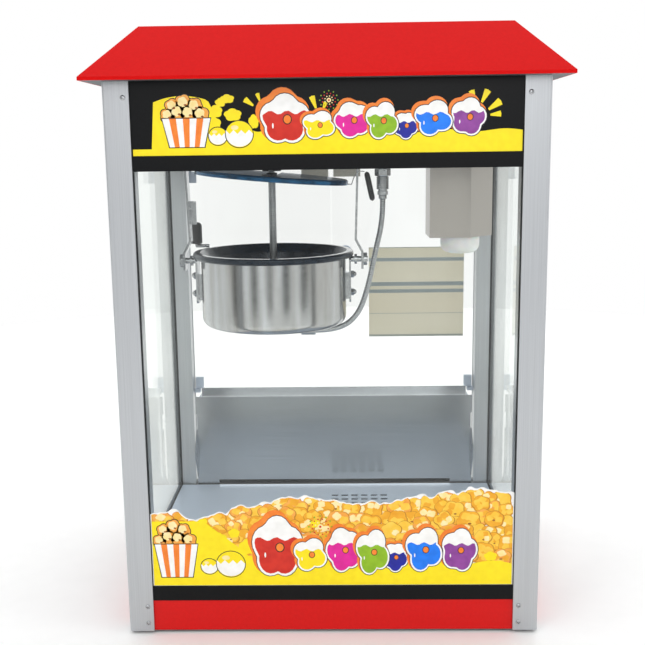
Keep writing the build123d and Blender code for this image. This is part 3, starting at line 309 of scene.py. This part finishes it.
for coat, names in {
    red_enamel: "roof_cover",
    base_finish: "base_shell",
    aluminium: "post_front_left post_front_right post_rear_left post_rear_right",
    stainless_sheet: "ceiling_plate rear_control_panel drawer_pull",
    stainless_flap: "rear_flap",
    stainless_shade: "lamp_shade",
    galvanised: "base_rails motor_bracket roof_rim_plate crumb_drawer",
    stainless_deck: "deck_plate door_pivot_blocks left_door_fittings right_door_fittings",
    polished_steel: "dome_nuts post_screws lid_handle tilt_rod left_hanger_arm right_hanger_arm "
                    "kettle_brackets conduit_connector conduit_elbow pivot_bushes",
    spun_stainless: "kettle_pot",
    nonstick: "kettle_bowl stirrer_blades",
    lid_coating: "kettle_lid",
    turned_steel: "stirrer_shaft",
    cast_motor: "gearbox stirrer_motor",
    black_paint: "glass_channels side_signs front_sign",
    black_plastic: "tilt_grip drive_hub lid_collar switch_housings motor_rocker heat_rocker light_rocker "
                   "cord_gland",
    white_plastic: "lamp_socket",
    zinc_plate: "door_catches",
    gasket: "glass_gaskets",
    foot_rubber: "rubber_feet",
    heater_sheath: "kettle_heater",
    float_glass: "front_glass side_glasses",
    cast_acrylic: "left_door right_door",
    opal: "lamp_bulb",
    label_film: "door_label",
    inks["yellow"]: "front_film",
}.items():
    for name in names.split():
        slots = nodes[name].data.materials
        slots.clear()
        slots.append(coat)


# ---- Camera and light -------------------------------------------------------------------

# Where each panel or gap stands round the room, from the left by way of the front, and its brightness.
PANELS = ((0.0, 0.95), (0.99, 0.95), (0.06, 1.0), (0.08, 0.12), (0.105, 0.12), (0.12, 1.05), (0.155, 1.0),
          (0.168, 0.1), (0.182, 0.1), (0.195, 1.0), (0.222, 1.2), (0.235, 0.3), (0.25, 0.35), (0.262, 1.25),
          (0.292, 1.0), (0.303, 0.08), (0.32, 0.1), (0.335, 1.0), (0.37, 1.1), (0.383, 0.12), (0.4, 0.15),
          (0.42, 1.0), (0.5, 1.05), (0.75, 1.05))

camera = bpy.data.objects.new("camera", bpy.data.cameras.new("camera"))
bpy.context.collection.objects.link(camera)
bpy.context.scene.camera = camera
camera.data.lens = 53.49
yaw, pitch, roll = math.radians(-1.23), math.radians(-10.45), math.radians(-0.78)
ahead = Vector((math.sin(yaw) * math.cos(pitch), math.cos(yaw) * math.cos(pitch), math.sin(pitch)))
level = ahead.cross(Vector((0, 0, 1))).normalized()
upright = level.cross(ahead)
right = level * math.cos(roll) + upright * math.sin(roll)
top = right.cross(ahead)
camera.matrix_world = Matrix.Translation((0.01642, -1.32814, 0.60878)) @ Matrix(
    (right, top, -ahead)).transposed().to_4x4()

for name, place, target, width, height, power in (
        ("key", (-1.5, -1.9, 2.3), (0, 0, 0.4), 1.4, 1.4, 11),
        ("fill", (2.0, -1.3, 1.2), (0, 0, 0.35), 1.6, 1.6, 5),
        ("back", (0.3, 2.4, 1.5), (0, 0, 0.35), 2.4, 1.6, 14),
        ("window", (0.1, -2.0, 1.1), (0, 0.1, 0.2), 1.3, 0.8, 6),
        ("overhead", (0, 0, 2.8), (0, 0, 0.4), 2.0, 2.0, 9)):
    lamp = bpy.data.lights.new(name, "AREA")
    lamp.shape, lamp.size, lamp.size_y, lamp.energy = "RECTANGLE", width, height, power
    held = bpy.data.objects.new(name, lamp)
    bpy.context.collection.objects.link(held)
    held.location = place
    held.rotation_euler = (Vector(target) - Vector(place)).to_track_quat("-Z", "Y").to_euler()

world = bpy.data.worlds.new("pale_room")
bpy.context.scene.world = world
world.use_nodes = True
tree = world.node_tree
tree.nodes.clear()
# Soft panels stand round the room, with darker gaps between them for the metal to mirror.
way = add(tree, "ShaderNodeTexCoord").outputs["Generated"]
turn = add(tree, "ShaderNodeTexGradient", {"gradient_type": "RADIAL"}, links={"Vector": way}).outputs["Fac"]
panels = add(tree, "ShaderNodeValToRGB", links={"Fac": turn})
for step, (place, bright) in enumerate(PANELS):
    stop = (panels.color_ramp.elements[step] if step < 2 else panels.color_ramp.elements.new(place))
    stop.position = place
    stop.color = (bright, bright, bright * 1.01, 1.0)
plain = add(tree, "ShaderNodeLightPath").outputs["Is Camera Ray"]
seen = add(tree, "ShaderNodeMix", {"data_type": "RGBA"}, {"B": linear("#ffffff")},
           {"Factor": plain, "A": panels.outputs["Color"]})
sky = add(tree, "ShaderNodeBackground", values={"Strength": 1.0}, links={"Color": seen.outputs["Result"]})
add(tree, "ShaderNodeOutputWorld", links={"Surface": sky.outputs[0]})
bpy.context.scene.view_settings.view_transform = "Standard"

FLOOR_RADIUS, FLOOR_SIDES = 2.3, 96
floor_mesh = bpy.data.meshes.new("floor")
floor_edge = [(FLOOR_RADIUS * math.cos(2 * math.pi * k / FLOOR_SIDES),
               FLOOR_RADIUS * math.sin(2 * math.pi * k / FLOOR_SIDES), 0) for k in range(FLOOR_SIDES)]
floor_mesh.from_pydata(floor_edge, [], [tuple(range(FLOOR_SIDES))])
floor = bpy.data.objects.new("floor", floor_mesh)
bpy.context.collection.objects.link(floor)
floor_mesh.materials.append(
    finish("pale_matt_floor", "#f8f8f7", "#fafaf9", (30, 30, 30), (0.7, 0.8), 0.01))


# ---- Printed art: puffs of popcorn and a paper cup on a yellow ground --------------------

def outline(points):
    """Points as a closed outline that runs anticlockwise as the customer sees it."""
    area = sum(a[0] * b[1] - b[0] * a[1] for a, b in zip(points, points[1:] + points[:1]))
    return points if area > 0 else points[::-1]


def lumpy(centre, radii, lobes, turn, grow=0.0, steps=36):
    """A puff: the outside of a ring of overlapping lobes, grown outwards by some millimetres."""
    waist, lobe_area, middle = 0.5, 0.3, 0.62
    points = []
    for step in range(steps):
        angle = 2 * math.pi * step / steps
        reach = middle
        for lobe in range(lobes):
            away = angle - turn - 2 * math.pi * lobe / lobes
            chord = lobe_area - (waist * math.sin(away)) ** 2
            if chord > 0 and math.cos(away) > 0:
                reach = max(reach, waist * math.cos(away) + math.sqrt(chord))
        points.append((centre[0] + (radii[0] * reach + grow) * math.cos(angle),
                       centre[1] + (radii[1] * reach + grow) * math.sin(angle)))
    return points


def ellipse(centre, radii, steps=20):
    """A plain oval."""
    return [(centre[0] + radii[0] * math.cos(2 * math.pi * k / steps),
             centre[1] + radii[1] * math.sin(2 * math.pi * k / steps)) for k in range(steps)]


def print_on(name, shapes, left, low, face, step, inside):
    """One thin printed layer per shape, (layer, ink, points), in front of a face and kept inside; in mm."""
    mesh = bmesh.new()
    used = sorted({ink for _, ink, _ in shapes})
    for layer, ink, points in shapes:
        kept = outline([inside(*point) for point in points])
        corners = [mesh.verts.new(((left + u) * MM, (face - step * (layer + 1)) * MM, (low + v) * MM))
                   for u, v in kept]
        mesh.faces.new(corners).material_index = used.index(ink)
    data = bpy.data.meshes.new(name)
    mesh.to_mesh(data)
    mesh.free()
    for ink in used:
        data.materials.append(inks[ink])
    made = bpy.data.objects.new(name, data)
    bpy.context.collection.objects.link(made)
    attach(made, "root")
    return made


def big_puff(layer, centre, radii, ink, lobes, turn):
    """A large puff: an orange glow, a black line, a white cap, a coloured body and its hull."""
    u, v = centre
    grow = min(radii) * 0.1
    dip = [(x, min(y, v + radii[1] * 0.28 + grow * math.sin(x * 9 / radii[0]) * 0.8))
           for x, y in lumpy(centre, radii, lobes, turn, -grow)]
    return [(layer, "orange", lumpy((u - grow, v + grow * 1.6), radii, lobes, turn, grow * 0.9)),
            (layer + 1, "black", lumpy(centre, radii, lobes, turn, 1.0)),
            (layer + 2, "white", lumpy(centre, radii, lobes, turn)),
            (layer + 3, ink, dip),
            (layer + 4, "black", ellipse((u + grow, v), (grow * 1.9, grow * 2.1))),
            (layer + 5, "orange", ellipse((u + grow, v), (grow * 1.5, grow * 1.7))),
            (layer + 5, "white",
             ellipse((u - radii[0] * 0.5, v - radii[1] * 0.25), (grow * 0.35, grow * 1.1)))]


def cup(layer, left, low, wide, tall):
    """A striped paper cup, heaped with puffs."""
    foot, brim, stripes = wide * 0.72, low + tall * 0.56, 7
    heel, toe = left + (wide - foot) / 2, left + (wide + foot) / 2
    shapes = [(layer + 2, "black",
               [(left - 1, brim + 1), (left + wide + 1, brim + 1), (toe + 1, low - 1), (heel - 1, low - 1)])]
    for stripe in range(stripes):
        a, b = stripe / stripes, (stripe + 1) / stripes
        shapes.append((layer + 3, "orange" if stripe % 2 else "white",
                       [(left + wide * a, brim), (left + wide * b, brim), (heel + foot * b, low),
                        (heel + foot * a, low)]))
    heap = ((0.12, 0.62, 0.15), (0.32, 0.68, 0.17), (0.55, 0.66, 0.17), (0.8, 0.63, 0.17),
            (0.22, 0.8, 0.15), (0.45, 0.86, 0.17), (0.68, 0.8, 0.16))
    for index, (x, y, size) in enumerate(heap):
        centre = (left + wide * x, low + tall * y)
        radii = (wide * size, wide * size)
        shapes.append((layer, "black", lumpy(centre, radii, 5, index, 1.0, 28)))
        shapes.append((layer + 1, "amber", lumpy(centre, radii, 5, index, 0, 28)))
        shapes.append((layer + 2, "cream", lumpy((centre[0] - 1, centre[1] + 1.5),
                                                 (radii[0] * 0.6, radii[1] * 0.6), 5, index, 0, 24)))
        shapes.append((layer + 3, "brown", ellipse((centre[0] + 2, centre[1] - 2), (1.6, 1.1), 12)))
    return shapes


def kernel(layer, centre, size):
    """A kernel half popped: a yellow grain in a burst white skirt."""
    u, v = centre
    burst = [(u + size * math.cos(a) * 1.05, v + size * math.sin(a) * 0.95)
             for a in (math.pi * (1 + k / 14) for k in range(15))]
    burst += [(u + size * (1.05 - 0.3 * k), v + size * (0.32 if k % 2 else 0.02)) for k in range(8)]
    return [(layer, "black", ellipse(centre, (size * 1.05 + 1, size + 1), 28)),
            (layer + 1, "yellow", ellipse(centre, (size * 1.05, size), 28)),
            (layer + 2, "white", burst),
            (layer + 2, "cream", ellipse((u - size * 0.35, v + size * 0.5), (size * 0.3, size * 0.18), 14))]


def starburst(layer, centre, size):
    """Rings of dots round a small flower, as a print's sparkle."""
    shapes = [(layer, "cream", ellipse(centre, (size * 0.24, size * 0.24), 16)),
              (layer + 1, "red", ellipse(centre, (size * 0.1, size * 0.1), 10))]
    for ring, (reach, dots, ink) in enumerate(((0.42, 9, "cream"), (0.68, 12, "red"), (0.95, 12, "green"))):
        for dot in range(dots):
            angle = 2 * math.pi * (dot + ring / 2) / dots
            spot = (centre[0] + size * reach * math.cos(angle), centre[1] + size * reach * math.sin(angle))
            shapes.append((layer, ink, ellipse(spot, (size * 0.07, size * 0.07), 8)))
    return shapes


def wedge(layer, root, angle, length, wide):
    """A yellow ray that widens outwards."""
    away = Vector((math.cos(angle), math.sin(angle)))
    side = Vector((-away.y, away.x))
    start = Vector(root)
    end = start + away * length
    points = [start + side * wide * 0.15, start - side * wide * 0.15, end - side * wide * 0.5,
              end + away * length * 0.06, end + side * wide * 0.5]
    return (layer, "yellow", [tuple(point) for point in points])


def ground(width, height_at):
    """The ground below a wavy edge."""
    steps = [width * k / 120 for k in range(121)]
    return [(0, 0), (width, 0)] + [(u, height_at(u)) for u in reversed(steps)]


# The sign over the window. Its art is laid out from its own left and lower edges.
art_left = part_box("post_front_left")[1].x / MM + 1
art_width = 452
sign_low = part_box("front_sign")[0]
sign_face = sign_low.y / MM


def sign_edge(u):
    """The sign's yellow ground: a block behind the cup, then a low wavy bank."""
    if u < 24:
        return 8
    if u < 90:
        return 68 - 0.006 * (u - 60) ** 2
    if u < 98:
        return 62 - (u - 90) * 2.2
    if u < 300:
        return 29 + 2.6 * math.sin(u / 9) + 1.6 * math.sin(u / 4.1 + 1)
    return 25 + 1.5 * math.sin(u / 11)


sign_art = [(0, "yellow", ground(art_width, sign_edge))]
# Scraps of popcorn fly up to the right of the cup.
for centre, radii in (((98, 50), (8, 7)), ((104, 60), (6, 5)), ((112, 64), (8, 5)), ((118, 46), (10, 7)),
                      ((142, 38), (6, 8)), ((96, 36), (8, 8))):
    sign_art.append((len(sign_art) * 0.25, "yellow", lumpy(centre, radii, 5, 0.4)))
sign_art += cup(3, 36, 10, 56, 58)
sign_art += kernel(3, (100, 22), 10) + kernel(6, (125, 24), 15)
for index, (centre, radii, ink, lobes) in enumerate((
        ((178, 40), (28, 28), "red", 5), ((217, 33), (19, 16), "yellow", 4),
        ((256, 38), (21, 20), "magenta", 5), ((290, 37), (19, 21), "green", 4),
        ((317, 31), (14, 15), "navy", 5), ((349, 39), (22, 20), "azure", 4),
        ((389, 40), (20, 21), "purple", 5))):
    sign_art += big_puff(3 + 6 * (index % 2), centre, radii, ink, lobes, index * 0.8 + 0.3)
sign_art += starburst(2, (229, 61), 11)
for root, angle, length, wide in (((142, 56), 2.5, 12, 7), ((150, 60), 1.9, 10, 5), ((214, 52), 1.9, 14, 7),
                                  ((222, 50), 1.2, 9, 5), ((396, 58), 1.9, 12, 7), ((404, 56), 1.1, 15, 8),
                                  ((412, 48), 0.6, 16, 9), ((414, 42), 0.1, 12, 7)):
    sign_art.append(wedge(2, root, angle, length, wide))
SIGN_INK_MM, SIGN_MARGIN, SIGN_ART_HEIGHT = 0.03, 0.5, 84
print_on("sign_print", sign_art, art_left, sign_low.z / MM, sign_face, SIGN_INK_MM,
         lambda u, v: (min(max(u, SIGN_MARGIN), art_width - SIGN_MARGIN),
                       min(max(v, SIGN_MARGIN), SIGN_ART_HEIGHT)))

# The film on the window: a heap of popcorn with a white die-cut margin, over the same art.
film_low, film_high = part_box("front_film")
film_face = film_low.y / MM
film_bottom = film_low.z / MM
HEAP = ((0, 99), (30, 101), (60, 88), (76, 97), (132, 111), (189, 119), (249, 109), (306, 114), (360, 122),
        (418, 131), (452, 122))


def along(stops, u):
    """The height at u on a line of stops."""
    for (a, low), (b, high) in zip(stops, stops[1:]):
        if u <= b:
            return low + (high - low) * (u - a) / (b - a)
    return stops[-1][1]


rng = random.Random(11)
bumps = []
reach = 5.0
while reach < art_width:
    size = rng.uniform(6, 9.5)
    bumps.append((reach, along(HEAP, reach) - size * rng.uniform(0.75, 1.7), size))
    reach += size * rng.uniform(0.8, 1.25)


def heap_edge(u):
    """The film's bumpy upper edge at u."""
    tops = [low + math.sqrt(size ** 2 - (u - x) ** 2) for x, low, size in bumps if abs(u - x) < size]
    return min(max(tops + [along(HEAP, u) - 14]), film_high.z / MM - film_bottom)


def bank_edge(u):
    """The film's yellow ground: high behind the cup and low to the right."""
    if u < 66:
        return 86
    if u < 120:
        return 86 - (u - 66) * 0.8
    return 40 - (u - 120) * 0.035 + 3 * math.sin(u / 13)


FILM_MM = 0.3
film_mesh = bmesh.new()
edges = []
for inset in (0.0, FILM_MM):
    edges.append([film_mesh.verts.new(((art_left + u) * MM, (film_face + inset) * MM, (film_bottom + v) * MM))
                  for u, v in ground(art_width, heap_edge)])
front, back = edges
film_mesh.faces.new(front)
film_mesh.faces.new(back[::-1])
for k in range(len(front)):
    film_mesh.faces.new((front[k - 1], back[k - 1], back[k], front[k]))
film_data = bpy.data.meshes.new("window_film")
film_mesh.to_mesh(film_data)
film_mesh.free()
film_data.materials.append(inks["white"])
window_film = bpy.data.objects.new("window_film", film_data)
bpy.context.collection.objects.link(window_film)
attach(window_film, "root")
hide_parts("front_film")

# Rows of popcorn from the heap's edge down; each puff has a shadow, a body and four paler lobes.
film_art = []
ROWS, ROW_DROP, ROW_LAYERS = 6, 15, 8
for row in range(ROWS):
    reach, other = -4.0 + 5 * (row % 2), 0
    while reach < art_width:
        size = rng.uniform(10, 16)
        top = heap_edge(min(max(reach, 0), art_width)) - size * 0.85
        centre = (reach, top - row * ROW_DROP + rng.uniform(-4, 4))
        reach += size * rng.uniform(1.1, 1.5)
        if centre[1] < bank_edge(max(reach, 0)) - 12:
            continue
        turn, lobes = rng.uniform(0, 6), rng.choice((4, 5, 5, 6))
        layer, other = ROW_LAYERS * row + 4 * other, 1 - other
        body = rng.choice(("golden", "golden", "corn", "amber"))
        film_art.append((layer, "shadow", lumpy(centre, (size, size * 0.92), lobes, turn, 0.4, 28)))
        film_art.append((layer + 1, body, lumpy((centre[0] - 0.4, centre[1] + 0.7), (size, size * 0.9), lobes,
                                                turn, -0.6, 28)))
        for lobe in range(4):
            angle = turn + 1.6 * lobe
            spot = (centre[0] + size * 0.46 * math.cos(angle), centre[1] + size * 0.42 * math.sin(angle) + 1)
            shade = rng.choice(("corn", "cream", "corn", "golden"))
            radii = (size * rng.uniform(0.3, 0.46), size * 0.34)
            film_art.append((layer + 2 + 0.2 * lobe, shade, lumpy(spot, radii, 4, turn + lobe, 0, 14)))
        if rng.random() < 0.3:
            spot = (centre[0] + rng.uniform(-3, 3), centre[1] - rng.uniform(1, 4))
            radii = (rng.uniform(1.2, 2.4), rng.uniform(0.8, 1.4))
            film_art.append((layer + 3, "brown", ellipse(spot, radii, 9)))
top_layer = ROW_LAYERS * ROWS
film_art.append((top_layer, "yellow", ground(art_width, bank_edge)))
for index, (spot, radii) in enumerate((
        ((84, 62), (11, 9)), ((104, 70), (7, 6)), ((122, 52), (12, 10)), ((100, 44), (9, 9)),
        ((62, 84), (9, 8)), ((424, 38), (8, 6)), ((206, 82), (6, 5)))):
    film_art.append((top_layer + 0.3 * (index + 1), "yellow", lumpy(spot, radii, 5, 0.4)))
top_layer += 2
film_art += cup(top_layer + 1, 4, 12, 54, 78)
film_art += kernel(top_layer + 1, (72, 26), 10) + kernel(top_layer + 4, (99, 29), 17)
for index, (centre, radii, ink, lobes) in enumerate((
        ((158, 51), (31, 40), "red", 5), ((199, 41), (21, 22), "yellow", 4),
        ((241, 47), (22, 29), "magenta", 5), ((277, 44), (21, 30), "green", 4),
        ((305, 37), (16, 19), "navy", 5), ((341, 47), (23, 29), "azure", 4),
        ((385, 46), (22, 28), "purple", 5))):
    film_art += big_puff(top_layer + 1 + 6 * (index % 2), centre, radii, ink, lobes, index * 0.8 + 0.3)
film_art += starburst(top_layer + 1, (212, 78), 15)
FILM_INK_MM, FILM_MARGIN, FILM_FOOT, DIE_CUT_MARGIN = 0.014, 1.2, 0.6, 1.6
print_on("film_print", film_art, art_left, film_bottom, film_face, FILM_INK_MM,
         lambda u, v: (min(max(u, FILM_MARGIN), art_width - FILM_MARGIN),
                       min(max(v, FILM_FOOT), heap_edge(min(max(u, 0), art_width)) - DIE_CUT_MARGIN)))


# ---- The kettle's lead -------------------------------------------------------------------

def tube_along(name, line, radii, finish_used, sides=16):
    """A tube of rings set square to a line of points, one radius for each."""
    mesh = bmesh.new()
    rings = []
    side = Vector((0, 1, 0))
    for index, point in enumerate(line):
        ahead = (line[min(index + 1, len(line) - 1)] - line[max(index - 1, 0)]).normalized()
        side = (side - ahead * side.dot(ahead)).normalized()
        other = ahead.cross(side)
        rings.append([mesh.verts.new(point + (side * math.cos(2 * math.pi * k / sides)
                                              + other * math.sin(2 * math.pi * k / sides)) * radii[index])
                      for k in range(sides)])
    for a, b in zip(rings, rings[1:]):
        for k in range(sides):
            mesh.faces.new((a[k], a[(k + 1) % sides], b[(k + 1) % sides], b[k])).smooth = True
    mesh.faces.new(rings[0][::-1])
    mesh.faces.new(rings[-1])
    data = bpy.data.meshes.new(name)
    mesh.to_mesh(data)
    mesh.free()
    data.materials.append(finish_used)
    made = bpy.data.objects.new(name, data)
    bpy.context.collection.objects.link(made)
    return made


lead_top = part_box("conduit_connector")[0].z
lead_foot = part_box("conduit_elbow")
ELBOW_RADIUS_MM = 6.5
lead_z = lead_foot[0].z + ELBOW_RADIUS_MM * MM
ROUTE = ((73, 0, lead_top / MM), (73, 0, 507), (62.5, 0, 463), (52.5, 0, 414), (38.5, 0, 374),
         (10, 0, lead_z / MM), (-22, 0, lead_z / MM))
guide_data = bpy.data.curves.new("lead_guide", "CURVE")
guide_data.dimensions = "3D"
spline = guide_data.splines.new("NURBS")
spline.points.add(len(ROUTE) - 1)
for point, place in zip(spline.points, ROUTE):
    point.co = (place[0] * MM, place[1] * MM, place[2] * MM, 1)
spline.order_u = 3
spline.use_endpoint_u = True
spline.resolution_u = 64
guide = bpy.data.objects.new("lead_guide", guide_data)
bpy.context.collection.objects.link(guide)
bpy.context.view_layer.update()
sampled = bpy.data.meshes.new_from_object(guide)
path = [vertex.co.copy() for vertex in sampled.vertices]
bpy.data.objects.remove(guide)

# The steel hose is wound from one strip. Its turns are drawn 3.2 mm apart, so that they show.
TURN_MM, STEP_MM = 3.2, 0.4
line, gone, left_over = [path[0]], 0.0, 0.0
for start, end in zip(path, path[1:]):
    length = (end - start).length
    while gone + STEP_MM * MM <= left_over + length:
        gone += STEP_MM * MM
        line.append(start.lerp(end, (gone - left_over) / length))
    left_over += length
GROOVE_MM, RIDGE_MM = 3.2, 0.8
ridges = [(GROOVE_MM + RIDGE_MM * abs(math.sin(math.pi * k * STEP_MM / TURN_MM)) ** 0.6) * MM
          for k in range(len(line))]
steel_hose = tube_along("steel_hose", line, ridges, polished_steel)
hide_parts("power_conduit")
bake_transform(steel_hose)

# ---- Small turned and bent fittings -------------------------------------------------------

def skin(mesh, rings, slot=0):
    """A closed skin drawn through rings of points in mm."""
    made = [[mesh.verts.new(point * MM) for point in ring] for ring in rings]
    for a, b in zip(made, made[1:]):
        for k in range(len(a)):
            after = (k + 1) % len(a)
            mesh.faces.new((a[k], a[after], b[after], b[k])).material_index = slot
    mesh.faces.new(made[0][::-1]).material_index = slot
    mesh.faces.new(made[-1]).material_index = slot


def settle(name, mesh, finishes, body, node):
    """A finished fitting that rides on a body in the place of a node."""
    bmesh.ops.recalc_face_normals(mesh, faces=mesh.faces)
    data = bpy.data.meshes.new(name)
    mesh.to_mesh(data)
    mesh.free()
    data.shade_smooth()
    data.set_sharp_from_angle(angle=math.radians(32))
    for each in finishes:
        data.materials.append(each)
    made = bpy.data.objects.new(name, data)
    bpy.context.collection.objects.link(made)
    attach(made, body)
    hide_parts(node)


def turned_ring(centre, height, radius, flats=False, sides=48):
    """One ring of a turned part, or of a hexagon that measures twice the radius over its corners."""
    points = []
    for k in range(sides):
        angle = 2 * math.pi * k / sides
        reach = radius
        if flats:
            reach *= math.cos(math.pi / 6) / math.cos(angle % (math.pi / 3) - math.pi / 6)
        points.append(Vector((centre[0] + reach * math.cos(angle), centre[1] + reach * math.sin(angle),
                              height)))
    return points


# The lead's connector: ferrule, gland nut, knurled body, hexagon, threaded nipple and two locknuts.
low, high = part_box("conduit_connector")
axis = ((low.x + high.x) / 2 / MM, (low.y + high.y) / 2 / MM)
foot = low.z / MM
profile = [(0, 5.1), (0.6, 5.6), (4.4, 5.6), (5, 5.1), (5, 6.3, True), (5.7, 7.2, True), (10.3, 7.2, True),
           (11, 6.3, True), (11, 6), (13, 6)]
for rib in range(6):
    start = 13 + 2.9 * rib
    profile += [(start, 7.9), (start + 0.6, 8.5), (start + 2, 8.5), (start + 2.6, 7.9)]
profile += [(30.4, 7.2), (31, 7.2), (31, 10.2, True), (31.8, 11, True), (40.2, 11, True),
            (41, 10.2, True), (41, 6.5)]
for thread in range(14):
    profile += [(41.5 + 2.1 * thread, 6.4), (42.5 + 2.1 * thread, 6.9)]
for nut in (71, 77.2):
    profile += [(nut, 6.8), (nut, 10.3, True), (nut + 0.7, 11, True), (nut + 4.3, 11, True),
                (nut + 5, 10.3, True), (nut + 5, 6.8)]
profile += [(83, 6.6), (83.2, 5.5)]
mesh = bmesh.new()
skin(mesh, [turned_ring(axis, foot + part[0], *part[1:]) for part in profile])
settle("lead_connector", mesh, [polished_steel], "root", "conduit_connector")

# The lamp's glass: a frosted jar with a flat foot and a short neck.
low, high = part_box("lamp_bulb")
axis = ((low.x + high.x) / 2 / MM, (low.y + high.y) / 2 / MM)
foot = low.z / MM
mesh = bmesh.new()
skin(mesh, [turned_ring(axis, foot + height, radius) for height, radius in (
    (0.6, 0.5), (0.7, 8), (1.2, 14), (2.6, 19.5), (5.2, 23.6), (9, 26), (14, 26.9), (40, 26.9), (47, 26),
    (54, 23), (61, 18), (68, 14), (76, 12.7), (110, 12.7))])
settle("lamp_glass", mesh, [opal], "root", "lamp_bulb")

# Pan-head screws with a crossed recess, driven into the posts' lips.
low, high = [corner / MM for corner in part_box("post_screws")]
HEAD_RADIUS, HEAD_HEIGHT, RECESS_RADIUS, RECESS_HALF, RECESS_DEPTH, SECOND_ROW = 3, 1.6, 1.75, 0.42, 0.8, 22.2
dome = ((0, 3), (0.4, 3), (0.8, 2.8), (1.1, 2.45), (1.3, 2.1), (1.42, 1.8), (1.45, 1.68), (1.5, 1.4),
        (1.54, 1.1), (1.58, 0.8), (1.6, 0.5), (1.6, 0.2))


def screw_head(middle, face, outward, height):
    """The rings of one pan head, from its seat on the post to the middle of its crossed recess."""
    rings = []
    for proud, radius in dome:
        ring = []
        for k in range(48):
            u, v = radius * math.cos(math.pi * k / 24), radius * math.sin(math.pi * k / 24)
            sunk = RECESS_DEPTH if radius < RECESS_RADIUS and min(abs(u), abs(v)) < RECESS_HALF else 0
            ring.append(Vector((middle + u, outward * (face + proud - sunk), height + v)))
        rings.append(ring)
    return rings


mesh = bmesh.new()
lowest, highest = low.z + HEAD_RADIUS, high.z - HEAD_RADIUS
for side in (-1, 1):
    for outward in (-1, 1):
        for height in (lowest, lowest + SECOND_ROW, highest):
            skin(mesh, screw_head(side * (high.x - HEAD_RADIUS), high.y - HEAD_HEIGHT, outward, height))
settle("crossed_screws", mesh, [polished_steel], "root", "post_screws")

# The lid's handle: a bent steel strap, and a rounded black lifting bar that leans away from it.
low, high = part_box("lid_handle")
near, far = low.y / MM, high.y / MM
strap = ((25, 555.9), (30.4, 555.4), (34.2, 566), (41.1, 573.5), (48.5, 573))
mesh = bmesh.new()
rings = []
for index, (x, z) in enumerate(strap):
    before, after = Vector(strap[max(index - 1, 0)]), Vector(strap[min(index + 1, len(strap) - 1)])
    along_strap = (after - before).normalized()
    off = Vector((-along_strap.y, along_strap.x)) * 0.6
    rings.append([Vector((x + off.x * up, y, z + off.y * up)) for up, y in (
        (1, near + 0.6), (0.4, near), (-0.4, near), (-1, near + 0.6), (-1, far - 0.6), (-0.4, far),
        (0.4, far), (1, far - 0.6))])
skin(mesh, rings)
head, heel, middle = Vector((51.2, 0, 572.5)), Vector((59.9, 0, 532.6)), (near + far) / 2
lean = (heel - head).normalized()
across = Vector((lean.z, 0, -lean.x))
rings = []
for step in range(21):
    share = step / 20
    round_end = (1 - abs(2 * share - 1) ** 10) ** 0.5 if 0 < step < 20 else 0.25
    centre = head.lerp(heel, share)
    ring = []
    for k in range(32):
        u, v = math.cos(math.pi * k / 16), math.sin(math.pi * k / 16)
        ring.append(centre + across * 4 * round_end * math.copysign(abs(u) ** 0.6, u)
                    + Vector((0, middle + 6 * round_end * math.copysign(abs(v) ** 0.6, v), 0)))
    rings.append(ring)
skin(mesh, rings, 1)
settle("lifting_bar", mesh, [polished_steel, black_plastic], "lid", "lid_handle")
